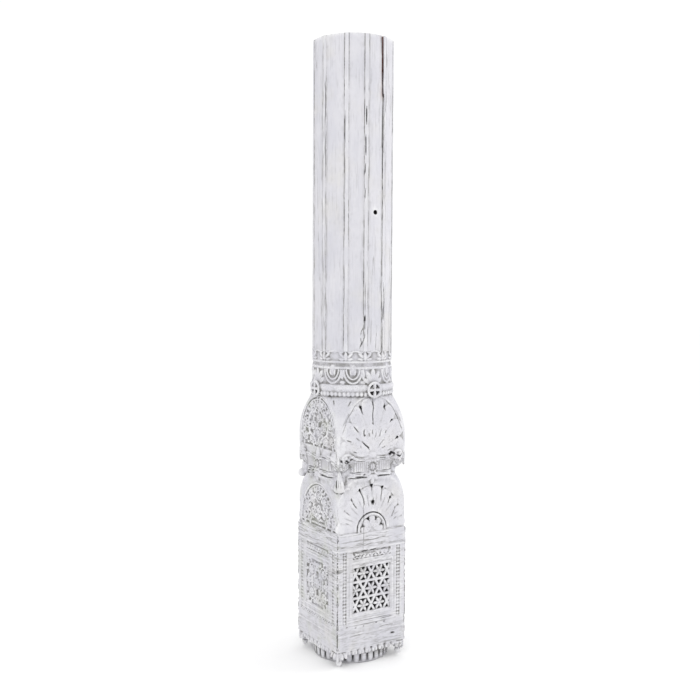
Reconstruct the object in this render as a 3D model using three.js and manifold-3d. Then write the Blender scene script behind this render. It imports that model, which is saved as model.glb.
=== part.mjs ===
// A carved timber column, painted white, cut from one log.
// From the floor up: a reeded foot drum, a square block with carved panels and hanging
// buds at its corners, a lower cushion, an octagonal waist, an upper cushion, a beaded
// ring, a leafy neck and a long shaft with twelve flutes, sawn off flat on top.
// Millimetres, +Z up. The origin is on the floor, at the centre of the foot drum.
// The front of the column looks along -Y. Front and back carry shells and star lattice,
// the two sides carry scrolling vines.

import * as THREE from 'three';
import { mergeVertices } from 'three/addons/utils/BufferGeometryUtils.js';
import Module from 'manifold-3d';

const wasm = await Module();
wasm.setup();

// Driving dimensions
const blockWidth = 300;
const columnHeight = 2311;
const shaftRadius = 153;

// Heights above the floor, from the foot up
const apronTop = 62;
const sillLow = 152;
const sillHigh = 173;
const panelLow = 195;
const panelHigh = 370;
const friezeLow = 400;
const friezeHigh = 429;
const blockTop = 497;
const shellBase = 505;
const lowerHoleHeight = 608;
const waistBottom = 692;
const reedBottom = 724;
const reedTop = 761;
const cushionBottom = 767;
const palmetteBase = 786;
const archSpring = 835;
const ringBottom = 1001;
const ringMiddle = 1023;
const ringTop = 1045;
const neckFillet = 1105;
const fluteEnd = 1171;
const upperHoleHeight = 1675;
const splitBottom = 2092;

// Widths and radii, measured from the column's axis
const blockHalf = blockWidth / 2;
const lowerHalf = blockHalf - 4;
const upperHalf = blockHalf - 2;
const drumRadius = blockHalf - 4;
const waistHalf = blockHalf - 4;
const waistDiagonal = blockHalf + 4;
const cornerRound = blockHalf + 58;
const neckRadius = shaftRadius - 6;
const ringRadius = shaftRadius + 4;
const bossReach = ringRadius + 9;
const dropReach = 187;
const budReach = (blockHalf - 20) * Math.SQRT2;

// Layout across a face of the block
const panelHalf = 84;
const beadStripInner = 110;
const beadStripOuter = 127;
const archHalf = 140;

const fluteCount = 12;
const faceTurns = [0, 1, 2, 3];
const shellTurns = [0, 2];
const brokenDropTurn = 0;
const roundFacets = 24;
const proud = 5;

const degrees = THREE.MathUtils.degToRad;

// A closed geometry as a solid for joining and cutting
function solidOf(geometry) {
  const loose = geometry.index ? geometry.toNonIndexed() : geometry.clone();
  loose.deleteAttribute('normal');
  loose.deleteAttribute('uv');
  const merged = mergeVertices(loose, 1e-3);
  const corners = merged.index.array;
  const kept = [];
  for (let i = 0; i < corners.length; i += 3) {
    const [a, b, c] = corners.slice(i, i + 3);
    if (a !== b && b !== c && a !== c) kept.push(a, b, c);
  }
  const mesh = new wasm.Mesh({
    numProp: 3,
    vertProperties: merged.attributes.position.array,
    triVerts: new Uint32Array(kept),
  });
  return new wasm.Manifold(mesh);
}

function joined(solids) {
  return wasm.Manifold.union(solids);
}

function turnedBy(solid, angle) {
  return solid.rotate([0, 0, angle]);
}

// Carries work made for the front to the next faces, clockwise seen from above
function turnedToFace(solid, turn) {
  return turnedBy(solid, -90 * turn);
}

function onEveryFace(solid) {
  return joined(faceTurns.map((turn) => turnedToFace(solid, turn)));
}

function polygon(points) {
  return new THREE.Shape(points.map(([x, y]) => new THREE.Vector2(x, y)));
}

function rectangle(left, low, right, high) {
  return polygon([[left, low], [right, low], [right, high], [left, high]]);
}

function regular(sides, radius, turn, u, z) {
  const points = [];
  for (let i = 0; i < sides; i++) {
    const angle = turn + (i * 2 * Math.PI) / sides;
    points.push([u + radius * Math.cos(angle), z + radius * Math.sin(angle)]);
  }
  return polygon(points);
}

// A plan whose edge goes in and out, for reeds and beads
function scallopedPlan(count, radius, depth) {
  const points = [];
  for (let i = 0; i < 2 * count; i++) {
    const angle = (i * Math.PI) / count;
    const r = i % 2 ? radius : radius - depth;
    points.push([r * Math.cos(angle), r * Math.sin(angle)]);
  }
  return polygon(points);
}

// An upright prism between two heights from a plan outline
function prism(plan, low, high) {
  const geometry = new THREE.ExtrudeGeometry(plan, { depth: high - low, bevelEnabled: false });
  return solidOf(geometry.translate(0, 0, low));
}

function squarePrism(halfWidth, low, high) {
  return prism(rectangle(-halfWidth, -halfWidth, halfWidth, halfWidth), low, high);
}

// A turned solid from (radius, height) pairs, listed from the foot up
function turned(profile, facets = roundFacets) {
  const foot = profile[0][1];
  const head = profile[profile.length - 1][1];
  const points = [[0, foot], ...profile, [0, head]].map(([r, z]) => new THREE.Vector2(r, z));
  return solidOf(new THREE.LatheGeometry(points, facets).rotateX(Math.PI / 2));
}

// Carving on a face is drawn in (u, z), u to the right along the face and z up, and
// stands between two distances from the column's axis
function onFace(shape, inner, outer) {
  const geometry = new THREE.ExtrudeGeometry(shape, {
    depth: outer - inner,
    bevelEnabled: false,
    curveSegments: 6,
  });
  return geometry.rotateX(Math.PI / 2).translate(0, -inner, 0);
}

function carvedOnFace(shape, inner, outer) {
  return solidOf(onFace(shape, inner, outer));
}

// A leaf or petal on a face, with a crest past its middle: its root is at (u, z) and its
// tip at angle degrees from straight up, clockwise. It has six edges, or four if small
function petal({ u, z, angle, length, width, inner, rise, edges = 6 }) {
  const sink = 1.5;
  const crest = 0.6;
  const rootWidth = 0.5;
  const broadest = Math.sin((2 * Math.PI) / edges);
  const leaf = new THREE.ConeGeometry(1, 1, edges, 1);
  leaf.rotateX(Math.PI / 2);
  const place = leaf.attributes.position;
  for (let i = 0; i < place.count; i++) {
    const isCrest = place.getZ(i) > 0;
    const along = isCrest ? crest : (place.getY(i) + 1) / 2;
    const swell = along < 0.5 ? rootWidth + along * (1 - rootWidth) : 1;
    place.setX(i, (place.getX(i) * swell * width) / (2 * broadest));
    place.setY(i, along * length);
    place.setZ(i, isCrest ? rise : -sink);
  }
  leaf.rotateZ(-degrees(angle));
  leaf.translate(u, z, inner);
  return leaf.rotateX(Math.PI / 2);
}

// A round boss on a face, with a bevelled rim
function boss({ u, z, radius, inner, rise, sides = 6, crown = 0.4 }) {
  const sink = 1.5;
  const drum = new THREE.CylinderGeometry(radius * crown, radius, rise + sink, sides, 1);
  drum.rotateX(Math.PI / 2).translate(u, z, inner + (rise - sink) / 2);
  return drum.rotateX(Math.PI / 2);
}

// A six-pointed flower on a face, highest at its eye
function flower(u, z, inner) {
  const rise = 11;
  const tip = 26;
  const notch = 13;
  const star = new THREE.ConeGeometry(1, 1, 12, 1);
  star.rotateX(Math.PI / 2);
  const place = star.attributes.position;
  for (let i = 0; i < place.count; i++) {
    const isEye = place.getZ(i) > 0;
    const spoke = Math.round((Math.atan2(place.getY(i), place.getX(i)) * 6) / Math.PI);
    const r = spoke % 2 ? tip : notch;
    place.setXYZ(i, place.getX(i) * r, place.getY(i) * r, isEye ? rise : -1);
  }
  return solidOf(star.translate(u, z, inner).rotateX(Math.PI / 2));
}

// A raised stem along a curve on a face, thinner towards its ends
function stem(points, width, inner, rise) {
  const steps = 4;
  const path = new THREE.CatmullRomCurve3(
    points.map(([u, z]) => new THREE.Vector3(u, 0, z)),
  );
  const spine = path.getSpacedPoints(steps);
  const left = [];
  const right = [];
  spine.forEach((p, i) => {
    const before = spine[Math.max(0, i - 1)];
    const after = spine[Math.min(steps, i + 1)];
    const along = after.clone().sub(before).normalize();
    const half = (width / 2) * (0.55 + 0.45 * Math.sin((Math.PI * (i + 1)) / (steps + 2)));
    left.push([p.x - along.z * half, p.z + along.x * half]);
    right.unshift([p.x + along.z * half, p.z - along.x * half]);
  });
  return onFace(polygon([...right, ...left]), inner - 1, inner + rise);
}

// Bends carving drawn for a flat face round the neck
function wrapped(geometry) {
  const place = geometry.attributes.position;
  for (let i = 0; i < place.count; i++) {
    const outward = -place.getY(i);
    const turn = place.getX(i) / neckRadius;
    place.setX(i, outward * Math.sin(turn));
    place.setY(i, -outward * Math.cos(turn));
  }
  return geometry;
}

// A fan of petals round a point on a face, the same on both sides of the middle. Each
// petal is [angle, radius where it ends, width] and starts at the radius from
function fan(z, petals, from, inner, rise, edges = 6) {
  const solids = [];
  for (const [angle, to, width] of petals) {
    for (const side of angle === 0 ? [1] : [1, -1]) {
      const lean = degrees(side * angle);
      const root = { u: from * Math.sin(lean), z: z + from * Math.cos(lean) };
      const size = { length: to - from, width, inner, rise, edges };
      solids.push(solidOf(petal({ ...root, ...size, angle: side * angle })));
    }
  }
  return joined(solids);
}

// Points of a stem that curls in round (u, z)
function curl({ u, z, radius, start, hand }) {
  const turns = 0.8;
  const steps = 4;
  const points = [];
  for (let i = 0; i <= steps; i++) {
    const share = i / steps;
    const r = radius * (1 - 0.4 * share);
    const angle = start + hand * turns * 2 * Math.PI * share;
    points.push([u + r * Math.cos(angle), z + r * Math.sin(angle)]);
  }
  return points;
}

// A scrolling vine: stems that each curl round a berry, with leaves outside the curl.
// It is drawn on the right half of a face and mirrored to the left
function vine(curls, inner, leafLength) {
  const stemWidth = 8;
  const rise = 8;
  const shapes = [];
  for (const { u, z, radius, start, hand, leaves } of curls) {
    for (const mirror of u === 0 ? [1] : [1, -1]) {
      const centre = { u: mirror * u, z };
      const turn = mirror > 0 ? start : Math.PI - start;
      const path = curl({ ...centre, radius, start: turn, hand: mirror * hand });
      const berry = { ...centre, radius: radius * 0.36, inner, rise: rise + 1 };
      shapes.push(stem(path, stemWidth, inner, rise));
      shapes.push(boss({ ...berry, sides: 5, crown: 0 }));
      for (const angle of leaves) {
        const out = degrees(angle);
        const root = {
          u: mirror * (u + radius * 0.9 * Math.sin(out)),
          z: z + radius * 0.9 * Math.cos(out),
        };
        const size = { length: leafLength, width: leafLength * 0.6, inner, rise, edges: 4 };
        shapes.push(petal({ ...root, ...size, angle: mirror * (angle + 20) }));
      }
    }
  }
  return joined(shapes.map(solidOf));
}

// Sinks the same field in all four faces and fills it with shells on front and back and
// with vines on the sides
function faceCarving(body, { shellCut, shellRelief, vineCut, vineRelief }) {
  let carved = body;
  for (const turn of faceTurns) {
    const shells = shellTurns.includes(turn);
    carved = carved
      .subtract(turnedToFace(shells ? shellCut : vineCut, turn))
      .add(turnedToFace(shells ? shellRelief : vineRelief, turn));
  }
  return carved;
}

// The foot drum, ringed with upright reeds
function footDrum() {
  return prism(scallopedPlan(20, drumRadius, 5), 0, apronTop + 12);
}

// The scalloped apron that hangs from the block, round the drum
function apron() {
  const scallops = 5;
  const run = blockHalf - 36;
  const drop = 15;
  const thick = 26;
  const eaves = apronTop + 4;
  const points = [[-blockHalf, eaves], [-run, eaves]];
  for (let i = 0; i < scallops; i++) {
    for (const [share, fall] of [[0.06, 0.4], [0.5, 1], [0.94, 0.4]]) {
      points.push([-run + ((i + share) * 2 * run) / scallops, apronTop - drop * fall]);
    }
  }
  points.push([run, eaves], [blockHalf, eaves], [blockHalf, eaves + 10], [-blockHalf, eaves + 10]);
  return onEveryFace(carvedOnFace(polygon(points), blockHalf - thick, blockHalf));
}

// A bud that hangs below each corner of the block
function cornerBuds() {
  const profile = [[4, 6], [11, 16], [9, 29], [19, 44], [14, 70]];
  const bud = turned(profile, 6).translate([0, -budReach, 0]);
  return faceTurns.map((turn) => turnedBy(bud, 45 - 90 * turn));
}

// The frieze: a sunk strip over the panel, with a row of pointed teeth standing in it
function frieze(sunk) {
  const teeth = 5;
  const clear = 3;
  const pitch = (2 * (panelHalf - clear)) / teeth;
  const points = [[clear - panelHalf, friezeLow + clear]];
  for (let i = 0; i < teeth; i++) {
    points.push([clear - panelHalf + (i + 0.5) * pitch, friezeHigh - clear]);
    points.push([clear - panelHalf + (i + 1) * pitch, friezeLow + 2 * clear]);
  }
  points.push([panelHalf - clear, friezeLow + clear]);
  const strip = rectangle(-panelHalf, friezeLow, panelHalf, friezeHigh);
  return {
    channel: carvedOnFace(strip, blockHalf - sunk, blockHalf + proud),
    row: carvedOnFace(polygon(points), blockHalf - sunk - 1, blockHalf - 1),
  };
}

// The sill and the two upright strips that frame the panel
function frameStrips(sunk) {
  const strips = [
    rectangle(-beadStripInner, sillLow, beadStripInner, sillHigh),
    rectangle(-beadStripOuter, sillLow, -beadStripInner, friezeHigh),
    rectangle(beadStripInner, sillLow, beadStripOuter, friezeHigh),
  ];
  return strips.map((strip) => carvedOnFace(strip, blockHalf - sunk, blockHalf + proud));
}

// Star lattice: a net of straight bars in three directions, with a pocket in every
// triangle and a six-pointed flower in every hexagon
function starLattice() {
  const pitch = 70;
  const bar = 6.5;
  const edge = pitch / 2;
  const rowPitch = (pitch * Math.sqrt(3)) / 2;
  const middle = (panelLow + panelHigh) / 2;
  const floor = blockHalf - 15;
  const hexRadius = edge - bar / Math.sqrt(3);
  const triangleRadius = (edge - bar * Math.sqrt(3)) / Math.sqrt(3);
  const triangleOff = edge / Math.sqrt(3);
  const pockets = [];
  const flowers = [];
  for (const row of [-1, 0, 1]) {
    const z = middle + row * rowPitch;
    const hexes = row === 0 ? 3 : 2;
    const first = (-(hexes - 1) * pitch) / 2;
    for (let i = 0; i < hexes; i++) {
      pockets.push(regular(6, hexRadius, 0, first + i * pitch, z));
      flowers.push(flower(first + i * pitch, z, floor));
    }
    for (let i = 0; i <= hexes; i++) {
      const u = first + (i - 0.5) * pitch;
      pockets.push(regular(3, triangleRadius, Math.PI / 2, u, z - triangleOff));
      pockets.push(regular(3, triangleRadius, -Math.PI / 2, u, z + triangleOff));
    }
  }
  const panel = rectangle(-panelHalf, panelLow, panelHalf, panelHigh);
  const window = carvedOnFace(panel, floor, blockHalf + proud);
  const sunk = carvedOnFace(panel, blockHalf - 3, blockHalf + proud);
  const holes = joined(pockets.map((p) => carvedOnFace(p, floor, blockHalf + proud)));
  return {
    cut: joined([holes.intersect(window), sunk]),
    relief: joined(flowers).intersect(window),
  };
}

// The square block with its panels and their frames
function block() {
  const sunk = 5;
  const vineFloor = blockHalf - 9;
  const body = squarePrism(blockHalf, apronTop, blockTop);
  const { channel, row } = frieze(sunk);
  const strips = [channel, ...frameStrips(sunk)];
  const lattice = starLattice();
  const quarter = (panelHigh - panelLow) / 4;
  const curls = [
    { z: panelLow + quarter, hand: 1, leaves: [45] },
    { z: panelHigh - quarter, hand: -1, leaves: [135] },
  ].map((place) => ({ u: 41, radius: 27, start: Math.PI, ...place }));
  const panel = rectangle(-panelHalf, panelLow, panelHalf, panelHigh);
  return faceCarving(body, {
    shellCut: joined([...strips, lattice.cut]),
    shellRelief: joined([row, lattice.relief]),
    vineCut: joined([...strips, carvedOnFace(panel, vineFloor, blockHalf + proud)]),
    vineRelief: joined([row, vine(curls, vineFloor, 26)]),
  });
}

// A shell of ten petals round a half rose, for the lower cushion
function shell(floor) {
  const roseRadius = 64;
  const rimWidth = 12;
  const petals = [10, 30, 50, 70, 88].map((angle, i) => [angle, 162 - 5 * i, 46]);
  const rosePetals = [0, 36, 72].map((angle) => [angle, roseRadius - 16, 24]);
  const rim = new THREE.Shape();
  rim.absarc(0, shellBase, roseRadius, 0, Math.PI);
  rim.absarc(0, shellBase, roseRadius - rimWidth, Math.PI, 0, true);
  return joined([
    fan(shellBase, petals, roseRadius - 2, floor, 9),
    fan(shellBase, rosePetals, 8, floor + 1, 6, 4),
    carvedOnFace(rim, floor - 1, floor + 9),
  ]);
}

// Lower cushion: a square block whose corners are rounded in towards the waist
function lowerCushion() {
  const foot = blockTop - 2;
  const head = waistBottom + 2;
  const shellFloor = lowerHalf - 5;
  const vineFloor = lowerHalf - 7;
  const shoulders = [
    [cornerRound + 4, foot],
    [cornerRound, 600],
    [cornerRound - 7, 635],
    [cornerRound - 20, 665],
    [cornerRound - 42, head],
  ];
  const lunette = new THREE.Shape();
  lunette.absellipse(0, shellBase, archHalf, 168, 0, Math.PI);
  const aboveBlock = carvedOnFace(rectangle(-200, blockTop - 1, 200, head), 100, 200);
  const curls = [
    { u: 0, z: 608, radius: 30, start: -Math.PI / 2, hand: 1, leaves: [-20, 90] },
    { u: 74, z: 556, radius: 32, start: Math.PI, hand: 1, leaves: [0, 70] },
  ];
  return faceCarving(squarePrism(lowerHalf, foot, head).intersect(turned(shoulders)), {
    shellCut: carvedOnFace(lunette, shellFloor, lowerHalf + proud),
    shellRelief: shell(shellFloor).intersect(aboveBlock),
    vineCut: carvedOnFace(lunette, vineFloor, lowerHalf + proud),
    vineRelief: vine(curls, vineFloor, 30),
  });
}

// Plan of the waist: an octagon, broad towards the faces and narrow towards the corners
function octagon(growth) {
  const half = waistHalf + growth;
  const flat = (waistDiagonal + growth) * Math.SQRT2 - half;
  const points = [];
  for (const turn of faceTurns) {
    const angle = (turn * Math.PI) / 2;
    for (const x of [-flat, flat]) {
      points.push([
        x * Math.cos(angle) + half * Math.sin(angle),
        x * Math.sin(angle) - half * Math.cos(angle),
      ]);
    }
  }
  return polygon(points);
}

// The waist: a raised band over a roll, with a rosette and its leaf on each face
function waist() {
  const middle = (reedBottom + reedTop) / 2;
  const rosette = { u: 0, z: middle, radius: 23, inner: waistHalf + 1, rise: 10 };
  const leaf = {
    u: 0, z: reedBottom, angle: 180, length: 52, width: 28, inner: waistHalf - 3, rise: 12,
  };
  return joined([
    prism(octagon(-3), waistBottom, palmetteBase - 4),
    prism(octagon(1), reedBottom, reedTop),
    prism(octagon(3), waistBottom + 8, waistBottom + 18),
    onEveryFace(joined([solidOf(boss(rosette)), solidOf(petal(leaf))])),
  ]);
}

// Drops that hang from the corners of the upper cushion, in the notches of the waist.
// The one at the right of the front has broken off
function cornerDrops() {
  const profile = [[4, 654], [17, 664], [18, 680], [10, 702], [5, 722], [8, cushionBottom + 3]];
  const drop = turned(profile, 6).translate([0, -dropReach, 0]);
  const left = faceTurns.filter((turn) => turn !== brokenDropTurn);
  return left.map((turn) => turnedBy(drop, 45 - 90 * turn));
}

// Leaf curls that clasp the corners over the drops
function cornerClasps() {
  const curls = [-1, 1].map((hand) => {
    const ball = new THREE.SphereGeometry(1, 5, 3).scale(18, 11, 13);
    return solidOf(ball.translate(hand * 15, 1 - dropReach, cushionBottom - 8));
  });
  return faceTurns.map((turn) => turnedBy(joined(curls), 45 - 90 * turn));
}

// A palmette of nine tall petals round seven short ones, for the upper cushion
function palmette(floor) {
  const outerTier = [[0, 210, 62], [19, 192, 58], [39, 164, 54], [62, 144, 52], [86, 134, 46]];
  const innerTier = [[0, 98, 36], [30, 92, 34], [60, 88, 32]];
  const knob = { u: 0, z: palmetteBase, radius: 15, inner: floor, rise: 15 };
  return joined([
    fan(palmetteBase, outerTier, 74, floor, 9),
    fan(palmetteBase, innerTier, 12, floor, 12, 4),
    solidOf(boss(knob)),
  ]);
}

// Upper cushion: a cube whose upper corners are rounded in to the ring, so that each
// face is left as a tall arched field
function upperCushion() {
  const head = ringBottom + 4;
  const shellFloor = upperHalf - 5;
  const vineFloor = upperHalf - 7;
  const dome = [
    [cornerRound - 22, cushionBottom],
    [cornerRound - 3, palmetteBase - 2],
    [cornerRound, 850],
    [cornerRound - 9, 900],
    [cornerRound - 28, 948],
    [cornerRound - 52, head],
  ];
  const field = new THREE.Shape();
  field.moveTo(2 - archHalf, palmetteBase - 12);
  field.lineTo(archHalf - 2, palmetteBase - 12);
  field.absellipse(0, archSpring, archHalf, 168, 0, Math.PI);
  const curls = [
    { u: 46, z: 930, radius: 30, start: Math.PI, hand: 1, leaves: [60] },
    { u: 80, z: 852, radius: 33, start: Math.PI, hand: -1, leaves: [30, 150] },
    { u: 0, z: 838, radius: 28, start: -Math.PI / 2, hand: 1, leaves: [120, -120] },
  ];
  return faceCarving(squarePrism(upperHalf, cushionBottom, head).intersect(turned(dome)), {
    shellCut: carvedOnFace(field, shellFloor, upperHalf + proud),
    shellRelief: palmette(shellFloor),
    vineCut: carvedOnFace(field, vineFloor, upperHalf + proud),
    vineRelief: vine(curls, vineFloor, 30),
  });
}

// A boss with four wedge-shaped pockets round a cross, one on each face of the ring
function piercedBoss() {
  const height = ringMiddle + 3;
  const pocketReach = 16;
  const disc = carvedOnFace(regular(8, 34, Math.PI / 8, 0, height), 130, bossReach);
  const pockets = [45, 135, 225, 315].map(degrees).map((a) => {
    const u = pocketReach * Math.cos(a);
    const z = height + pocketReach * Math.sin(a);
    return carvedOnFace(regular(3, 11, a, u, z), bossReach - 8, bossReach + proud);
  });
  return disc.subtract(joined(pockets));
}

// The ring: a smooth roll over a string of beads, with its bosses
function ring() {
  const roll = [
    [ringRadius - 2, ringMiddle - 4],
    [ringRadius + 2, ringMiddle + 5],
    [ringRadius + 2, ringTop - 8],
    [ringRadius - 5, ringTop],
  ];
  const beads = scallopedPlan(30, ringRadius, 5);
  return joined([
    turned(roll),
    prism(beads, ringBottom, ringMiddle - 2),
    onEveryFace(piercedBoss()),
  ]);
}

// The neck: hanging petals with a plume over each boss, two fillets, and a row of buds
// where the shaft's fillets come down
function neck() {
  const filletRise = 4;
  const core = turned([
    [neckRadius, ringTop - 6],
    [neckRadius, neckFillet - 2],
    [neckRadius + filletRise, neckFillet + 3],
    [neckRadius, neckFillet + 12],
    [neckRadius + filletRise, neckFillet + 22],
    [neckRadius, neckFillet + 27],
    [neckRadius, fluteEnd + 4],
  ]);
  const leaf = (shape) => solidOf(wrapped(petal({ u: 0, inner: neckRadius, ...shape })));
  const hanging = joined([
    leaf({ z: neckFillet + 1, angle: 180, length: 60, width: 74, rise: 5 }),
    leaf({ z: neckFillet - 1, angle: 180, length: 38, width: 36, rise: 8, edges: 4 }),
  ]);
  const bud = leaf({ z: fluteEnd - 2, angle: 180, length: 36, width: 26, rise: 6, edges: 4 });
  const plume = joined(
    [-42, 0, 42].map((angle) => leaf({ z: ringTop, angle, length: 56, width: 26, rise: 5, edges: 4 })),
  );
  const carvings = [];
  const pitch = 360 / fluteCount;
  for (let i = 0; i < fluteCount; i++) {
    const overBoss = i % 3 === 0;
    carvings.push(turnedBy(bud, (i + 0.5) * pitch));
    carvings.push(turnedBy(overBoss ? plume : hanging, i * pitch));
  }
  return joined([core, ...carvings]);
}

// The shaft: twelve shallow flutes parted by flat fillets
function shaft() {
  const filletHalf = degrees(2.9);
  const step = 2.5;
  const hollow = 7;
  const curveSteps = 3;
  const pitch = degrees(360 / fluteCount);
  const points = [];
  const at = (r, angle) => points.push([r * Math.cos(angle), r * Math.sin(angle)]);
  for (let i = 0; i < fluteCount; i++) {
    const fillet = -Math.PI / 2 + (i + 0.5) * pitch;
    at(shaftRadius, fillet - filletHalf);
    at(shaftRadius, fillet + filletHalf);
    for (let k = 0; k <= curveSteps; k++) {
      const share = k / curveSteps;
      const depth = step + (hollow - step) * Math.sin(Math.PI * share);
      at(shaftRadius - depth, fillet + filletHalf + share * (pitch - 2 * filletHalf));
    }
  }
  return prism(polygon(points), fluteEnd, columnHeight);
}

// A long split where a strip has broken out of the shaft, beside the front flute
function shaftSplit() {
  const deep = 30;
  const overTop = columnHeight + proud;
  const outline = polygon([
    [-5, overTop],
    [-6, splitBottom + 138],
    [-5, splitBottom + 48],
    [3, splitBottom],
    [6, splitBottom + 28],
    [7, overTop],
  ]);
  const cutter = carvedOnFace(outline, shaftRadius - deep, shaftRadius + proud);
  return turnedBy(cutter, 180 / fluteCount);
}

// An old round hole in the front
function hole(u, z, radius, face, deep) {
  return carvedOnFace(regular(10, radius, 0, u, z), face - deep, face + 40);
}

function column() {
  const whole = joined([
    footDrum(),
    apron(),
    block(),
    lowerCushion(),
    waist(),
    upperCushion(),
    ring(),
    neck(),
    shaft(),
    ...cornerBuds(),
    ...cornerDrops(),
    ...cornerClasps(),
  ]);
  return whole
    .subtract(shaftSplit())
    .subtract(hole(7, upperHoleHeight, 8.5, shaftRadius, 40))
    .subtract(hole(3, lowerHoleHeight, 7, lowerHalf, 35));
}

function meshOf(solid, name, material) {
  const { vertProperties, triVerts } = solid.getMesh();
  const geometry = new THREE.BufferGeometry();
  geometry.setAttribute('position', new THREE.BufferAttribute(vertProperties, 3));
  geometry.setIndex(new THREE.BufferAttribute(triVerts, 1));
  geometry.computeVertexNormals();
  const mesh = new THREE.Mesh(geometry, material);
  mesh.name = name;
  return mesh;
}

const paintedWood = new THREE.MeshStandardMaterial({
  color: 0xe4e3e4,
  roughness: 0.72,
  metalness: 0,
  flatShading: true,
});

const carvedColumn = new THREE.Group();
carvedColumn.add(meshOf(column(), 'carved_column', paintedWood));

export default carvedColumn;
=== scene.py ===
import time
from math import cos, pi, radians, sin, sqrt

import bmesh
import bpy
import numpy as np
from mathutils import Matrix, Vector


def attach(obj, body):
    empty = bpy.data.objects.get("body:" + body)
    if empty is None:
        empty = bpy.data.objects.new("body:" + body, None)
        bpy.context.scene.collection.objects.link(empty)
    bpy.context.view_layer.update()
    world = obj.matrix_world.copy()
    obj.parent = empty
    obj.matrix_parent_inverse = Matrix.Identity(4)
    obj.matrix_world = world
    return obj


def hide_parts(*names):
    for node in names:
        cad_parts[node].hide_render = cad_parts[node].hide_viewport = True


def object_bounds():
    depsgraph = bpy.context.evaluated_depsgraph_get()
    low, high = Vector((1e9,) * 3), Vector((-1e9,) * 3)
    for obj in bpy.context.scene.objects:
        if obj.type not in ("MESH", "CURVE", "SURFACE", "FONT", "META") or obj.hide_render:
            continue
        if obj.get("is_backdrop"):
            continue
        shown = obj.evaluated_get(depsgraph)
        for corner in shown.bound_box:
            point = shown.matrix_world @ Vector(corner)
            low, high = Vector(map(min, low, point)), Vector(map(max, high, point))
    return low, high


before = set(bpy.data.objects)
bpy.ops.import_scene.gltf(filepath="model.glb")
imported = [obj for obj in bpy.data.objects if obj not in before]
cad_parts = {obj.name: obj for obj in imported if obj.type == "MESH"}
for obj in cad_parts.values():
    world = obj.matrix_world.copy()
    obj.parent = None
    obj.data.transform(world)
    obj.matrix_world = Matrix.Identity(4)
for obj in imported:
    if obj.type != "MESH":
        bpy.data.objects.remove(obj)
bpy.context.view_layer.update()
scene = bpy.context.scene
started = time.time()


def report(words):
    print(f"{time.time() - started:5.1f} s  {words}", flush=True)


# The column is modelled in millimetres and made metres at the end.
# Work on a face is drawn at the front: x runs right along the face (u), z is up, and
# "out" is the distance from the column's axis, towards -Y. turned() carries it round.

column = {
    "height": 2311,
    "blockHalf": 150,
    "voxel": 2.0,           # grain of the carving's remesh
    "voxelQuick": 3.4,
    "triangles": 188000,
    "seed": 11,
}


def meshOf(bm, name="work"):
    mesh = bpy.data.meshes.new(name)
    bm.to_mesh(mesh)
    bm.free()
    return mesh


def objectOf(mesh, name="work"):
    made = bpy.data.objects.new(name, mesh)
    scene.collection.objects.link(made)
    return made


def withModifiers(holder):
    # the mesh of an object with its modifiers applied; the object goes
    graph = bpy.context.evaluated_depsgraph_get()
    graph.update()
    mesh = bpy.data.meshes.new_from_object(holder.evaluated_get(graph))
    bpy.data.objects.remove(holder)
    return mesh


def combine(base, other, how):
    # boolean of two closed meshes: DIFFERENCE, INTERSECT or UNION
    baseObject = objectOf(base)
    otherObject = objectOf(other)
    cut = baseObject.modifiers.new("cut", "BOOLEAN")
    cut.operation = how
    cut.object = otherObject
    cut.solver = "MANIFOLD"
    made = withModifiers(baseObject)
    bpy.data.objects.remove(otherObject)
    return made


def spunBy(mesh, degrees):
    # a copy turned about the column's axis
    copy = mesh.copy()
    copy.transform(Matrix.Rotation(radians(degrees), 4, "Z"))
    return copy


def turned(mesh, turn):
    # a copy carried a number of quarter turns, clockwise seen from above
    return spunBy(mesh, -90 * turn)


def gather(pile):
    bm = bmesh.new()
    for mesh in pile:
        bm.from_mesh(mesh)
    return meshOf(bm)


def outwards(bm):
    bmesh.ops.recalc_face_normals(bm, faces=bm.faces[:])
    return bm


def raised(bm, face, by):
    # pulls a face out into a solid
    made = bmesh.ops.extrude_face_region(bm, geom=[face])["geom"]
    lift = [g for g in made if isinstance(g, bmesh.types.BMVert)]
    bmesh.ops.translate(bm, vec=by, verts=lift)
    return lift


def onFace(u, z, out, angle=0):
    # place on a face; angle is clockwise from straight up
    return Matrix.Translation((u, -out, z)) @ Matrix.Rotation(radians(angle), 4, "Y")


def plainBall(detail):
    bm = bmesh.new()
    bmesh.ops.create_icosphere(bm, subdivisions=detail, radius=1)
    return meshOf(bm, f"ball{detail}")


balls = {detail: plainBall(detail) for detail in (1, 2, 4)}


def ball(pile, u, z, out, size, detail=2, angle=0):
    # a ball or a flattened bead; size is (across, outwards, up)
    made = balls[detail].copy()
    made.transform(onFace(u, z, out, angle) @ Matrix.Diagonal((*size, 1)))
    pile.append(made)


def petal(pile, u, z, angle, length, width, rise, out, root=0.35, broad=0.62, flat=0.7, cup=0.0, blunt=2):
    # a petal whose root is at (u, z): narrow at the root, broadest past the middle;
    # blunt makes its tip broad and round, cup hollows it along its middle
    bm = bmesh.new()
    made = bmesh.ops.create_uvsphere(bm, u_segments=16, v_segments=12, radius=1)["verts"]
    for v in made:
        along = (v.co.z + 1) / 2
        swell = root + (1 - root) * sin(min(1, along / broad) * pi / 2)
        if v.co.z > 0 and abs(v.co.z) < 0.999:
            swell *= (1 - v.co.z ** blunt) ** (1 / blunt) / sqrt(1 - v.co.z ** 2)
        side = v.co.x
        v.co.x *= swell * width / 2
        v.co.y = (-rise if v.co.y < 0 else rise) * abs(v.co.y) ** flat
        if v.co.y < 0:
            v.co.y += cup * rise * (1 - side * side) * sin(along * pi)
        v.co.z = along * length
    bmesh.ops.transform(bm, matrix=onFace(u, z, out, angle), verts=made)
    pile.append(meshOf(bm))


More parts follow.
